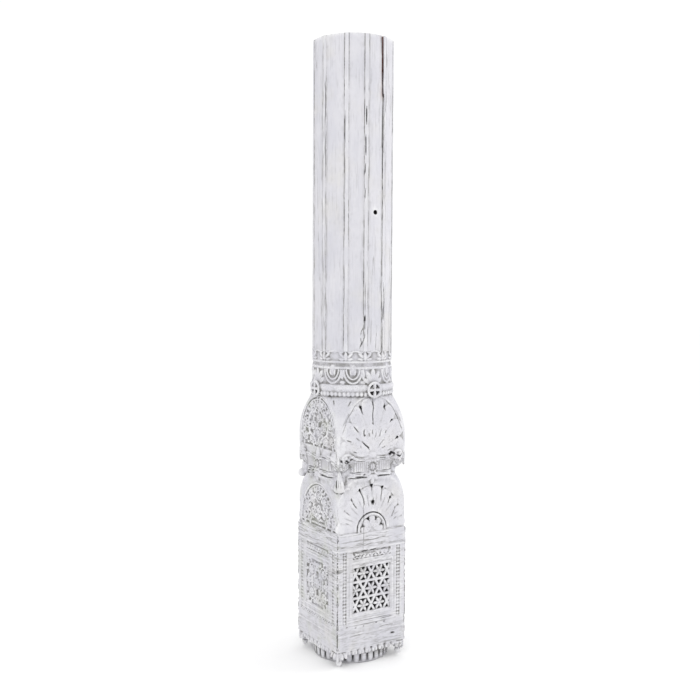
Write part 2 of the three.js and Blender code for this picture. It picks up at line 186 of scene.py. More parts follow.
def slab(pile, left, low, right, high, inner, outer, angle=0):
    # a box on a face between two distances from the axis
    bm = bmesh.new()
    size = Matrix.Diagonal((right - left, outer - inner, high - low, 1))
    place = onFace((left + right) / 2, (low + high) / 2, (inner + outer) / 2, angle)
    bmesh.ops.create_cube(bm, size=1, matrix=place @ size)
    pile.append(meshOf(bm))


def prism(pile, sides, radius, turn, u, z, inner, outer):
    # a straight pocket or block with a regular outline, its first corner at turn from up
    bm = bmesh.new()
    place = onFace(u, z, inner) @ Matrix.Rotation(pi / 2, 4, "X") @ Matrix.Rotation(radians(turn), 4, "Z")
    made = bmesh.ops.create_circle(bm, cap_ends=True, segments=sides, radius=radius, matrix=place)
    raised(bm, made["verts"][0].link_faces[0], (0, inner - outer, 0))
    pile.append(meshOf(outwards(bm)))


def lathe(profile, steps=96):
    # a turned solid from (radius, height) pairs, foot first
    bm = bmesh.new()
    points = [(0, profile[0][1]), *profile, (0, profile[-1][1])]
    line = [bm.verts.new((r, 0, z)) for r, z in points]
    edges = [bm.edges.new(pair) for pair in zip(line, line[1:])]
    bmesh.ops.spin(
        bm, geom=line + edges, axis=(0, 0, 1), cent=(0, 0, 0), angle=2 * pi, steps=steps,
        use_merge=True, use_normal_flip=False, use_duplicate=False,
    )
    bmesh.ops.remove_doubles(bm, verts=bm.verts[:], dist=0.001)
    return outwards(bm)


def smoothLine(points, steps):
    # a smooth line through a few points, as many steps between each two
    points = [np.array(p, float) for p in points]
    ends = [2 * points[0] - points[1], *points, 2 * points[-1] - points[-2]]
    line = []
    for a, b, c, d in zip(ends, ends[1:], ends[2:], ends[3:]):
        for k in range(steps):
            t = k / steps
            line.append(0.5 * (2 * b + (c - a) * t + (2 * a - 5 * b + 4 * c - d) * t * t
                               + (3 * b - a - 3 * c + d) * t ** 3))
    return line + [points[-1]]


def stems(pile, lines, thick):
    # round stems along lines of (u, z, out, share of the thickness)
    curve = bpy.data.curves.new("stems", "CURVE")
    curve.dimensions = "3D"
    curve.bevel_depth = thick
    curve.bevel_resolution = 2
    curve.use_fill_caps = True
    for line in lines:
        spline = curve.splines.new("POLY")
        spline.points.add(len(line) - 1)
        for point, (u, z, out, share) in zip(spline.points, line):
            point.co = (u, -out, z, 1)
            point.radius = share
    holder = bpy.data.objects.new("stems", curve)
    pile.append(bpy.data.meshes.new_from_object(holder))
    bpy.data.objects.remove(holder)


def arc(u, z, radiusU, radiusZ, start, end, out, share=1, steps=24):
    # part of an ellipse, angles clockwise from straight up
    line = []
    for k in range(steps + 1):
        a = radians(start + (end - start) * k / steps)
        line.append((u + radiusU * sin(a), z + radiusZ * cos(a), out, share))
    return line


def scroll(u, z, radius, start, hand, out, turns=1.5, steps=26, inner=0.22):
    # a stem that curls in round (u, z) and thins on the way
    line = []
    for k in range(steps + 1):
        t = k / steps
        r = radius * (1 - (1 - inner) * t)
        a = radians(start) + hand * turns * 2 * pi * t
        line.append((u + r * sin(a), z + r * cos(a), out + 1.5 * t, 1 - 0.35 * t))
    return line


def blossom(pile, u, z, petals, reach, width, rise, out, start=0, eye=0.3, **shape):
    # a round flower of equal petals round an eye
    for k in range(petals):
        petal(pile, u, z, start + 360 * k / petals, reach, width, rise, out, **shape)
    ball(pile, u, z, out + rise * 0.6, (reach * eye, rise * 0.7, reach * eye))


def ray(base, angle, near, far):
    # a straight line outwards from (0, base) on a face
    a = radians(angle)
    return [(near * sin(a), base + near * cos(a)), (far * sin(a), base + far * cos(a))]


def fan(pile, base, start, pairs, rise, out, **shape):
    # pairs of petals spread from (0, base), each (angle, reach, width), that start a little way out
    for angle, reach, width in pairs:
        for side in (-1, 1):
            (u, z), _ = ray(base, side * angle, start, reach)
            petal(pile, u, z, side * angle, reach - start, width, rise, out, **shape)


def wrapRound(mesh, radius):
    # bends work drawn for a flat face round a cylinder
    for v in mesh.vertices:
        out = -v.co.y
        turn = v.co.x / radius
        v.co.x = out * sin(turn)
        v.co.y = -out * cos(turn)
    return mesh


# ---- foot, apron and buds ----

foot = {
    "radius": 145, "leaves": 32,
    "scallops": 8, "skirtHalf": 118,
    "budReach": 184,
}


def makeFoot():
    r = foot["radius"]
    pile = [meshOf(lathe([(r - 4, 0), (r - 2, 4), (r - 5, 30), (r - 9, 80)]))]
    leaf = []
    petal(leaf, 0, 78, 180, 77, 25, 6, r - 5, root=0.75, broad=0.3, blunt=3)
    petal(leaf, 0, 80, 180, 66, 9, 8, r - 5, root=0.6)
    leafMesh = gather(leaf)
    return pile + [spunBy(leafMesh, 360 * i / foot["leaves"]) for i in range(foot["leaves"])]


def makeApron():
    # a skirt of round scallops between the buds
    pile = []
    run = foot["skirtHalf"]
    pitch = 2 * run / foot["scallops"]
    for i in range(foot["scallops"]):
        u = -run + (i + 0.5) * pitch
        fall = 1 - (u / run) ** 2
        ball(pile, u, 61 - 4 * fall, 140, (pitch * 0.53, 12, 16 + 7 * fall))
        for side in (-1, 1):
            ball(pile, u + side * pitch * 0.22, 54 - 6 * fall, 148, (pitch * 0.19, 5, 9))
    return pile


def makeBud():
    profile = [(0.5, 5), (6, 6), (10, 11), (11.5, 18), (10, 24), (8.5, 27), (14, 30), (19, 36), (21.5, 45),
               (20.5, 54), (16, 61), (18, 70)]
    bm = lathe(profile, steps=24)
    reach = foot["budReach"]
    bmesh.ops.translate(bm, vec=(0, -reach, 0), verts=bm.verts[:])
    pile = [meshOf(bm)]
    for side in (-1, 1):
        petal(pile, side * 9, 62, 180 - side * 14, 31, 14, 8, reach + 11)
        petal(pile, side * 19, 60, 180 - side * 24, 27, 13, 8, reach + 2)
        ball(pile, side * 7, 20, reach + 5, (4, 5, 10))
    petal(pile, 0, 64, 180, 40, 11, 8, reach + 17)
    return pile


# ---- the block with its panels ----

block = {
    "low": 62, "high": 497,
    "panelHalf": 84, "panelLow": 195, "panelHigh": 370,
    "latticePitch": 70, "latticeBar": 8.5, "latticeDeep": 17,
    "vineDeep": 6.5,
    # strips sunk in every face: (left, low, right, high, depth)
    "strips": [(-84, 400, 84, 429, 4.5), (-126.5, 162, -109.5, 431, 4), (109.5, 162, 126.5, 431, 4),
               (-109, 149, 109, 152, 2.6), (-108, 175, 108, 178, 3), (-86.5, 378, 86.5, 381, 3)],
    # level mouldings: (height, half length, thickness)
    "mouldings": [(120, 149, 2.3), (436, 149, 2.1), (170, 108, 2.1)],
    "beadColumn": 118, "beads": 21, "beadPitch": 12.8,
    "teeth": 9, "teethHalf": 82,
}


def beadRow(pile, left, right, z, out, pitch, size):
    count = max(2, round((right - left) / pitch))
    for i in range(count + 1):
        ball(pile, left + (right - left) * i / count, z, out, size, detail=1)


def frameCuts(half):
    pile = []
    for left, low, right, high, deep in block["strips"]:
        slab(pile, left, low, right, high, half - deep, half + 5)
    return pile


def frameRelief(half):
    # beads up both sides, small leaves in the frieze, mouldings and a frame round the window
    pile = []
    for side in (-1, 1):
        for i in range(block["beads"]):
            ball(pile, side * block["beadColumn"], 168 + i * block["beadPitch"], half - 4, (6.6, 4.2, 5.6))
    pitch = 2 * block["teethHalf"] / block["teeth"]
    for i in range(block["teeth"]):
        u = -block["teethHalf"] + (i + 0.5) * pitch
        for lean in (-38, 38):
            petal(pile, u, 401, lean, 27, 11, 5.5, half - 5)
        ball(pile, u, 409, half - 4, (5, 4, 6))
    for z, reach, thick in block["mouldings"]:
        stems(pile, [[(-reach, z, half - 0.6, 1), (reach, z, half - 0.6, 1)]], thick)
    lowLeft, highLeft, lowRight, highRight = [(u, z, half - 0.5, 1) for u in (-92, 92) for z in (188, 388)]
    stems(pile, [[lowLeft, highLeft], [lowRight, highRight], [highLeft, highRight], [lowLeft, lowRight]],
          2.2)
    return pile


def latticeCuts(half):
    # a net of straight bars in three directions, a pocket in every hexagon and triangle
    pitch, bar = block["latticePitch"], block["latticeBar"]
    edge = pitch / 2
    middle = (block["panelLow"] + block["panelHigh"]) / 2
    hexRadius = edge - bar / sqrt(3)
    triRadius = (edge - bar * sqrt(3)) / sqrt(3)
    deep = half - block["latticeDeep"]
    pile, flowers = [], []
    for row in (-1, 0, 1):
        z = middle + row * pitch * sqrt(3) / 2
        hexes = 3 if row == 0 else 4
        first = -(hexes - 1) * pitch / 2
        for i in range(hexes):
            u = first + i * pitch
            prism(pile, 6, hexRadius, 90, u, z, deep, half + 5)
            flowers.append((u, z))
        for i in range(hexes + 1):
            u = first + (i - 0.5) * pitch
            prism(pile, 3, triRadius, 0, u, z - edge / sqrt(3), deep, half + 5)
            prism(pile, 3, triRadius, 180, u, z + edge / sqrt(3), deep, half + 5)
    window = []
    slab(window, -80, block["panelLow"] + 3, 80, block["panelHigh"] - 3, deep - 5, half + 10)
    return combine(gather(pile), window[0], "INTERSECT"), flowers


def latticeFlowers(flowers, half):
    floor = half - block["latticeDeep"]
    pile = []
    for u, z in flowers:
        if abs(u) > 76:
            continue
        blossom(pile, u, z, 6, 27, 12, 15, floor + 1, start=30, eye=0.22, root=0.35, broad=0.62, flat=0.5)
    return pile


def vinePanel(half):
    # a dense panel of flowers, scrolls and leaves
    floor = half - block["vineDeep"]
    middle = (block["panelLow"] + block["panelHigh"]) / 2
    pile, lines = [], []
    for su in (-1, 1):
        for sz in (-1, 1):
            u, z = su * 44, middle + sz * 46
            lines.append(scroll(u, z, 28, 180 if sz > 0 else 0, su * sz, floor + 2, turns=1.15, inner=0.5))
            blossom(pile, u, z, 6, 17, 11, 7, floor + 1, start=20)
            for a in range(0, 360, 45):
                petal(pile, u + 25 * sin(radians(a)), z + 25 * cos(radians(a)), a + 25 * su * sz,
                      19, 12, 7.5, floor + 1)
            for lean in (-50, 0, 50):
                petal(pile, su * 82, middle + sz * 84, -su * (135 if sz > 0 else 45) + lean,
                      25, 13, 6.5, floor + 1)
            petal(pile, su * 66, middle + sz * 84, -su * 90, 22, 10, 6, floor + 1)
            for a in (-30, 20):
                petal(pile, su * 80, middle + sz * (82 if a > 0 else 60), -su * (70 if sz > 0 else 110) + a,
                      20, 11, 7, floor + 1)
        lines.append([(su * x, y, floor + 3, s) for x, y, s in
                      [(2, middle - 76, 1), (13, middle - 56, 1), (14, middle - 34, 1),
                       (24, middle - 14, 1), (24, middle + 14, 1), (14, middle + 34, 1),
                       (13, middle + 56, 1), (2, middle + 76, 0.8)]])
        blossom(pile, su * 62, middle, 5, 15, 10, 7, floor + 1, start=su * 90)
        for a in (40, 90, 140):
            petal(pile, su * 68, middle, su * a, 17, 9, 7, floor + 1)
        petal(pile, su * 30, middle, su * 90, 22, 12, 7, floor + 1)
    blossom(pile, 0, middle, 8, 22, 11, 8, floor + 1)
    for z, a in ((middle - 78, 0), (middle + 78, 180)):
        for lean in (-60, -25, 25, 60):
            petal(pile, 0, z, a + lean, 26, 11, 7.5, floor + 1)
        petal(pile, 0, z, a, 34, 12, 8, floor + 1)
    stems(pile, lines, 3.8)
    return pile


def makeBlock():
    half = column["blockHalf"]
    pile = []
    slab(pile, -half, block["low"], half, block["high"], -half, half)
    body = pile[0]
    lattice, flowers = latticeCuts(half)
    shared = frameCuts(half)
    window = (-block["panelHalf"], block["panelLow"], block["panelHalf"], block["panelHigh"])
    frontCuts, sideCuts = list(shared), list(shared)
    slab(frontCuts, *window, half - 3, half + 5)
    slab(sideCuts, *window, half - block["vineDeep"], half + 5)
    frontMesh, sideMesh = gather(frontCuts), gather(sideCuts)
    for turn in (0, 2):
        for mesh, at in ((frontMesh, turn), (lattice, turn), (sideMesh, turn + 1)):
            body = combine(body, turned(mesh, at), "DIFFERENCE")
    shared = frameRelief(half)
    return body, gather(shared + latticeFlowers(flowers, half)), gather(shared + vinePanel(half))


# ---- lower cushion ----

lowerCushion = {
    "half": 146, "foot": 494, "head": 696,
    "shoulders": [(212, 494), (211, 560), (208, 600), (201, 635), (188, 665), (166, 697)],
    "archHalf": 139, "archHeight": 167, "base": 505, "straight": 4,
    "roseRadius": 64,
    "shellDeep": 5, "vineDeep": 7, "spandrelDeep": 2.6,
    "hole": (4, 608, 7, 35),     # an old round hole in the front: u, height, radius, depth
}


def archCut(cushion, base, deep):
    # a sunk field under an arch
    bm = bmesh.new()
    place = onFace(0, base, cushion["half"] - deep) @ Matrix.Rotation(pi / 2, 4, "X")
    made = bmesh.ops.create_circle(bm, cap_ends=True, segments=64, radius=1, matrix=place)["verts"]
    for v in made:
        v.co.x *= cushion["archHalf"]
        if v.co.z > base - 0.01:
            v.co.z = base + (v.co.z - base) * cushion["archHeight"]
        else:
            v.co.z = base - cushion["straight"]
    raised(bm, made[0].link_faces[0], (0, -(deep + 10), 0))
    bmesh.ops.remove_doubles(bm, verts=bm.verts[:], dist=0.01)
    return meshOf(outwards(bm))


def archedBody(cushion, profile, base):
    # a square cushion with turned shoulders and a sunk field on each face
    half = cushion["half"]
    pile = []
    slab(pile, -half, cushion["foot"], half, cushion["head"], -half, half)
    body = combine(pile[0], meshOf(lathe(profile)), "INTERSECT")
    cuts = [archCut(cushion, base, cushion[deep]) for deep in ("spandrelDeep", "vineDeep")]
    for turn in range(4):
        body = combine(body, turned(cuts[turn % 2], turn), "DIFFERENCE")
    return body


def clippedBelow(mesh, height):
    bm = bmesh.new()
    bm.from_mesh(mesh)
    everything = bm.verts[:] + bm.edges[:] + bm.faces[:]
    bmesh.ops.bisect_plane(bm, geom=everything, dist=0.001, plane_co=(0, 0, height), plane_no=(0, 0, 1),
                           clear_inner=True)
    return meshOf(bm)


def shellOfPetals(half):
    base = lowerCushion["base"]
    floor = half - lowerCushion["shellDeep"]
    rose = lowerCushion["roseRadius"]
    pile = []
    fan(pile, base, 40, [(9.2, 164, 50), (27.5, 162, 50), (46, 159, 50), (65.5, 156, 50), (84, 153, 46)],
        8, floor, root=0.4, broad=0.9, flat=0.35, cup=0.16, blunt=3)
    ball(pile, 0, base, floor, (rose + 60, 5.5, rose + 60), detail=4)
    ball(pile, 0, base, floor, (rose + 5, 8.2, rose + 5), detail=4)
    stems(pile, [arc(0, base, rose - 7, rose - 7, -96, 96, floor + 5, steps=36)], 4.5)
    for angle in (-94, -48, 0, 48, 94):
        a = radians(angle)
        petal(pile, 4 * sin(a), base + 4 + 4 * cos(a), angle, rose - 20, 34, 9, floor + 3,
              root=0.2, broad=0.8, flat=0.45, cup=0.3, blunt=2.6)
    return pile


def arabesque(pile, scrolls, floor):
    # scrolls mirrored about the middle; each is (u, z, radius, start, hand, leaf angles)
    lines = []
    for u, z, radius, start, hand, leaves in scrolls:
        for mirror in ((1,) if u == 0 else (1, -1)):
            turn = start if mirror > 0 else -start
            lines.append(scroll(mirror * u, z, radius, turn, mirror * hand, floor + 2,
                                turns=1.25, inner=0.45))
            blossom(pile, mirror * u, z, 5, radius * 0.58, radius * 0.42, 8, floor + 1,
                    start=mirror * start)
            for angle in leaves:
                a = radians(mirror * angle)
                petal(pile, mirror * u + radius * 0.9 * sin(a), z + radius * 0.9 * cos(a),
                      mirror * (angle + 24 * hand), 20, 11, 8, floor + 1)
    stems(pile, lines, 3.8)


def leafBorder(pile, base, wide, high, lean, out):
    # leaves side by side inside an arch
    for angle in range(-80, 81, 10):
        a = radians(angle)
        petal(pile, (wide - 40) * sin(a), base + (high - 40) * cos(a), angle + lean, 23, 11, 6.5, out)


def lowerVine(half):
    floor = half - lowerCushion["vineDeep"]
    base = lowerCushion["base"]
    wide, high = lowerCushion["archHalf"], lowerCushion["archHeight"]
    pile = []
    arabesque(pile, [
        (0, 618, 25, 180, 1, (-60, 60, 0, 120, -120)),
        (48, 600, 23, -90, 1, (20, 80, 140, -60)),
        (92, 566, 23, -120, -1, (30, 100, 160, -40)),
        (42, 548, 22, 180, -1, (0, 90, -90, 160)),
        (0, 565, 18, 180, 1, (150, -150, 90, -90)),
        (106, 528, 13, 0, 1, (-90, 180)),
        (72, 526, 13, 0, -1, (40, -140)),
        (0, 532, 13, 0, 1, (90, -90)),
    ], floor)
    stems(pile, [arc(0, base, wide - 6, high - 6, -90, 90, floor + 4, steps=40)], 4.5)
    stems(pile, [arc(0, base, wide - 17, high - 17, -86, 86, floor + 2, steps=40)], 2.8)
    leafBorder(pile, base, wide, high, 18, floor + 1)
    beadRow(pile, -124, 124, 511, floor + 3, 11, (5, 5, 5))
    return pile


def makeLowerCushion():
    body = archedBody(lowerCushion, lowerCushion["shoulders"], lowerCushion["base"])
    front = clippedBelow(gather(shellOfPetals(lowerCushion["half"])), lowerCushion["foot"])
    return body, front, gather(lowerVine(lowerCushion["half"]))


# ---- waist, drops and clasps ----

waist = {
    "half": 146, "flat": 75,
    "reedLow": 724, "reedHigh": 761,
    "low": 690, "high": 780,
    "dropReach": 187,
    # corners by quarter turns from the front right one: it has lost its drop, the back left has knobs
    "brokenTurn": 0, "knobTurn": 2,
}


def octagonBand(pile, grow, low, high, growHigh=None):
    # a band round the eight-sided waist
    bm = bmesh.new()
    corners = []
    for turn in range(4):
        a = turn * pi / 2
        for x in (-waist["flat"], waist["flat"]):
            corners.append((x * cos(a) + waist["half"] * sin(a), x * sin(a) - waist["half"] * cos(a), low))
    face = bm.faces.new([bm.verts.new(c) for c in corners])
    top = raised(bm, face, (0, 0, high - low))
    for v in bm.verts:
        by = grow if v not in top or growHigh is None else growHigh
        v.co.xy *= 1 + by / waist["half"]
    pile.append(meshOf(outwards(bm)))


def makeWaist():
    body = []
    octagonBand(body, -3, waist["low"], waist["high"])
    octagonBand(body, 1.5, waist["reedLow"], waist["reedHigh"])
    octagonBand(body, 4, waist["reedHigh"] + 1, waist["reedHigh"] + 5)
    octagonBand(body, 3.5, 709, 720, 2)
    octagonBand(body, 4.5, 704, 707)
    octagonBand(body, -4, 668, 700, 4.5)
    corner = []
    ball(corner, 0, 742, 138, (40, 38, 62))
    ball(corner, 0, 694, 134, (46, 38, 26))
    face = []
    out = waist["half"] + 2
    for k in range(12):
        a = 2 * pi * k / 12
        ball(face, 21 * sin(a), 741 + 21 * cos(a), out, (4.6, 6, 4.6))
    blossom(face, 0, 741, 6, 14, 9, 7, out)
    for lean in (-48, 0, 48):
        petal(face, 0, 712, 180 + lean, 36 if lean == 0 else 30, 17, 8, out - 1, cup=0.25)
    for side in (-1, 1):
        petal(face, 0, 722, side * 118, 30, 10, 6, out - 2)
    return gather(body), gather(corner), gather(face)


def makeDrop():
    profile = [(1, 648), (9, 650), (16, 655), (19.5, 662), (19.5, 670), (17.5, 680), (14.5, 690),
               (10.5, 701), (7, 712), (4, 726), (3.5, 740)]
    bm = lathe(profile, steps=32)
    bmesh.ops.translate(bm, vec=(0, -waist["dropReach"] + 1, 0), verts=bm.verts[:])
    pile = [meshOf(bm)]
    reach = waist["dropReach"] - 4
    for side in (-1, 0, 1):
        ball(pile, side * 14, 661, reach + 7 - 3 * abs(side), (8, 8, 8))
    petal(pile, 0, 666, 0, 62, 8, 6, reach + 15, root=0.8, broad=0.3)
    for side in (-1, 1):
        ball(pile, side * 27, 666, reach - 12, (9, 9, 7))
        petal(pile, side * 12, 662, side * 70, 22, 11, 8, reach - 5)
        petal(pile, side * 9, 668, -side * 10, 52, 9, 6, reach + 8, root=0.8, broad=0.3)
    return pile


def makeClasp():
    # over each corner of the waist a rounded calyx with three pairs of leaves
    reach = waist["dropReach"]
    pile = []

    def hug(u, more=0):
        return reach + more - (sqrt(u * u + 170) - 13)

    ball(pile, 0, 777, reach - 18, (40, 34, 34))
    ball(pile, 0, 754, reach - 20, (32, 31, 31))
    for side in (-1, 1):
        petal(pile, side * 5, 762, side * 50, 36, 14, 6, hug(14, 13), cup=0.35)
        petal(pile, side * 4, 748, side * 58, 32, 12, 6, hug(12, 9), cup=0.3)
        petal(pile, side * 3, 733, side * 64, 24, 10, 5, hug(10, 3))
        petal(pile, side * 30, 779, side * 70, 24, 11, 7, hug(34, 13))
    petal(pile, 0, 794, 180, 62, 9, 7, reach + 15)
    return pile


def makeKnobs():
    # a round knob under a stem, with one more beside it
    pile = []
    ball(pile, 0, 685, 196, (16, 16, 16), detail=4)
    ball(pile, 0, 713, 178, (14, 20, 28))
    ball(pile, 0, 692, 178, (15, 18, 15))
    ball(pile, 0, 664, 168, (20, 18, 12))
    ball(pile, 80, 698, 140, (19, 15, 12), detail=4)
    return pile


# ---- upper cushion ----

upperCushion = {
    "half": 148, "foot": 766, "head": 1006,
    "dome": [(184, 766), (204, 783), (207.5, 815), (208, 850), (205, 878), (199, 903), (189, 930),
             (175, 958), (160, 985), (150, 1007)],
    "archHalf": 139, "spring": 835, "archHeight": 167, "straight": 61,
    "palmetteBase": 784,
    "shellDeep": 4, "vineDeep": 7, "spandrelDeep": 2.2,
}


def palmette(half):
    base = upperCushion["palmetteBase"]
    floor = half - upperCushion["shellDeep"]
    pile = []
    fan(pile, base, 46, [(7.8, 214, 56), (25.5, 200, 64), (48.5, 172, 74), (77, 144, 76)], 8, floor,
        root=0.3, broad=0.88, flat=0.35, cup=0.16, blunt=3)
    ball(pile, 0, base + 34, floor, (122, 5.8, 104), detail=4)
    fan(pile, base, 8, [(10.5, 106, 34), (31.5, 100, 36), (55, 94, 38), (79, 86, 30)], 9.5, floor,
        root=0.25, broad=0.82, flat=0.4, cup=0.3, blunt=2.6)
    ball(pile, 0, base + 1, floor + 6, (17, 4, 12))
    lines = []
    for side in (-1, 1):
        line = smoothLine([(20, 774, 5, 0.5), (50, 770, 6, 0.8), (78, 776, 7, 1.0), (100, 790, 7, 1.1),
                           (120, 790, 6, 1.1), (128, 778, 5, 1), (118, 769, 6, 0.9), (108, 776, 8, 0.7)], 4)
        lines.append([(side * u, z, floor + o, s) for u, z, o, s in line])
    stems(pile, lines, 5.5)
    return pile


def upperVine(half):
    floor = half - upperCushion["vineDeep"]
    spring, wide, high = upperCushion["spring"], upperCushion["archHalf"], upperCushion["archHeight"]
    pile = []
    arabesque(pile, [
        (0, 962, 20, 180, 1, (-70, 70, 20, -20)),
        (42, 934, 22, -100, 1, (10, 70, 130, -40)),
        (86, 890, 23, -120, -1, (30, 90, 150, -30)),
        (40, 880, 22, 180, 1, (-20, 60, 110, -110)),
        (98, 838, 20, 0, 1, (60, 150, 0, -80)),
        (52, 830, 19, 0, -1, (130, -130, 40, -40)),
        (0, 914, 18, 0, 1, (0, 180, 90, -90)),
        (0, 858, 20, 180, -1, (-90, 90, 0, 180)),
        (0, 820, 12, 180, -1, (-90, 90)),
    ], floor)
    for inset, thick, low in ((6, 4.5, 806), (18, 2.8, 812)):
        line = arc(0, spring, wide - inset, high - inset, -90, 90, floor + 6 - thick / 2, steps=40)
        ends = [(side * (wide - inset), low, floor + 6 - thick / 2, 1) for side in (-1, 1)]
        stems(pile, [ends[:1] + line + ends[1:]], thick)
    for side in (-1, 1):
        line = smoothLine([(side * 8, 808, floor + 4, 1), (side * 28, 836, floor + 5, 1.1),
                           (side * 68, 862, floor + 5, 1.1), (side * 64, 920, floor + 5, 1),
                           (side * 22, 940, floor + 5, 1), (side * 8, 984, floor + 4, 0.8)], 6)
        stems(pile, [line], 3.6)
    leafBorder(pile, spring, wide, high, -20, floor + 1)
    slab(pile, -136, 770, 136, 803, floor - 2, half - 2)
    petal(pile, 0, 808, 180, 56, 32, 7, half - 3, flat=0.5, cup=0.2)
    return pile


def makeUpperCushion():
    body = archedBody(upperCushion, upperCushion["dome"], upperCushion["spring"])
    return body, gather(palmette(upperCushion["half"])), gather(upperVine(upperCushion["half"]))


# ---- ring and neck ----

ring = {"radius": 157, "beads": 60, "bossHeight": 1026, "bossReach": 166}
neck = {"radius": 147, "top": 1169}


def makeRing():
    r = ring["radius"]
    pile = [meshOf(lathe([(r - 14, 996), (r - 9, 1001), (r - 5, 1012), (r - 2.5, 1018), (r, 1024),
                          (r + 2.5, 1031), (r + 1.5, 1039), (r - 3, 1044), (r - 12, 1047)]))]
    bead = []
    ball(bead, 0, 1011, r - 6.5, (8.4, 8, 10.5))
    return pile + [spunBy(bead[0], 360 * i / ring["beads"]) for i in range(ring["beads"])]


def makeBoss():
    height, reach = ring["bossHeight"], ring["bossReach"]
    pile = []
    prism(pile, 40, 27, 0, 0, height, 130, reach - 10)
    stems(pile, [arc(0, height, 26.5, 26.5, 0, 360, reach - 5.5, steps=40)], 4.8)
    for k in range(4):
        petal(pile, 0, height, 90 * k, 25, 11, 7.5, reach - 7, root=0.6, flat=0.5, blunt=4)
    ball(pile, 0, height, reach - 4, (7, 5, 7))
    return pile


def makeNeck():
    r = neck["radius"]
    pile = [meshOf(lathe([(r - 1, 1036), (r - 1, 1100), (r + 1, 1102), (r + 3.5, 1105), (r + 3.5, 1108),
                          (r + 1, 1111), (r - 1, 1113), (r - 1, 1123), (r + 1.5, 1125), (r + 4, 1129),
                          (r + 2, 1132), (r, 1134), (r, 1160), (r + 2, 1167), (r - 3, 1176)]))]
    hanging, bud, plume = [], [], []
    stems(hanging, [arc(0, 1102, 34, 52, 92, 268, r + 1.5, steps=22)], 3.8)
    stems(hanging, [arc(0, 1102, 24, 37, 92, 268, r + 1.5, steps=18)], 3.2)
    ball(hanging, 0, 1099, r - 1, (15, 5, 21))
    for side in (-1, 1):
        petal(hanging, side * 10, 1102, 180 + side * 8, 22, 8, 6, r)
    petal(hanging, 38, 1104, 180, 40, 12, 6, r)
    petal(hanging, 38, 1044, 0, 16, 20, 4, r)
    petal(bud, 0, 1170, 180, 36, 16, 7.5, r, root=0.25, broad=0.75)
    for side in (-1, 1):
        petal(bud, side * 4, 1141, side * 44, 30, 11, 6.5, r)
        petal(bud, side * 3, 1137, side * 82, 24, 9, 5.5, r)
        stems(bud, [smoothLine([(side * 3, 1170, r + 1.5, 1), (side * 14, 1163, r + 2.5, 1),
                                (side * 28, 1167, r + 3, 0.9), (side * 39, 1168, r + 3, 0.7)], 4)], 2.4)
    for angle, length, width in ((0, 62, 20), (-28, 58, 19), (28, 58, 19), (-58, 46, 17), (58, 46, 17)):
        petal(plume, 0, 1043, angle, length, width, 7, r, flat=0.5, cup=0.3)
    hangingMesh, budMesh, plumeMesh = [wrapRound(gather(part), r) for part in (hanging, bud, plume)]
    for i, fillet in enumerate(shaft["fillets"]):
        pile.append(spunBy(plumeMesh if i % 3 == 1 else hangingMesh, 30 * (i - 1)))
        pile.append(spunBy(budMesh, fillet))
    return pile


# ---- shaft ----

shaft = {
    "radius": 153, "filletHalf": 2.7, "step": 1.7, "hollow": 2.6,
    # where the twelve fillets stand, in degrees from the front; cut by eye, so not quite even
    "fillets": [-40.3, -12.6, 17, 45.6, 75.2, 105, 135, 164.6, 195.3, 225, 255.2, 285.5],
    "splitFoot": 2086, "splitDeep": 34, "splitShallow": 15, "splitTurn": 15.2,
    "holeOff": 6, "holeHeight": 1675, "holeRadius": 8.5, "holeDeep": 40,
}


def makeShaft():
    bm = bmesh.new()
    outline = []
    fillets = shaft["fillets"]
    half, steps = shaft["filletHalf"], 8
    for here, following in zip(fillets, fillets[1:] + [fillets[0] + 360]):
        outline += [(here - half, 0), (here, 0), (here + half, 0)]
        span = following - here - 2 * half - 1.2
        for k in range(steps + 1):
            depth = shaft["step"] + (shaft["hollow"] - shaft["step"]) * sin(pi * k / steps)
            outline.append((here + half + 0.6 + span * k / steps, depth))
    foot = neck["top"]
    line = []
    for angle, depth in outline:
        a = radians(angle)
        r = shaft["radius"] - depth
        line.append(bm.verts.new((r * sin(a), -r * cos(a), foot)))
    raised(bm, bm.faces.new(line), (0, 0, column["height"] - foot))
    body = meshOf(outwards(bm))

    # where a long strip has broken out, beside the front flute
    pile = []
    rightEdge = [(4.5, 2125), (7, 2165), (8, 2215), (8.6, 2262), (10.5, 2330)]
    shallow = [(-9, 2330), (-9.8, 2262), (-8.6, 2215), (-9, 2170), (-6.5, 2130), (-5, 2098),
               (-1, 2090), (4, 2094)]
    deeper = [(0, 2330), (1, 2200), (0, 2130), (1, 2106), (4, 2108)]
    for line, deep in ((shallow, shaft["splitShallow"]), (deeper, shaft["splitDeep"])):
        cutter = bmesh.new()
        floor = deep - shaft["radius"]
        strip = cutter.faces.new([cutter.verts.new((u, floor, z)) for u, z in line + rightEdge])
        raised(cutter, strip, (0, -deep - 10, 0))
        pile.append(spunBy(meshOf(outwards(cutter)), shaft["splitTurn"]))
    prism(pile, 20, shaft["holeRadius"], 0, shaft["holeOff"], shaft["holeHeight"],
          shaft["radius"] - shaft["holeDeep"], 170)
    return combine(body, gather(pile), "DIFFERENCE")


# ---- everything together ----

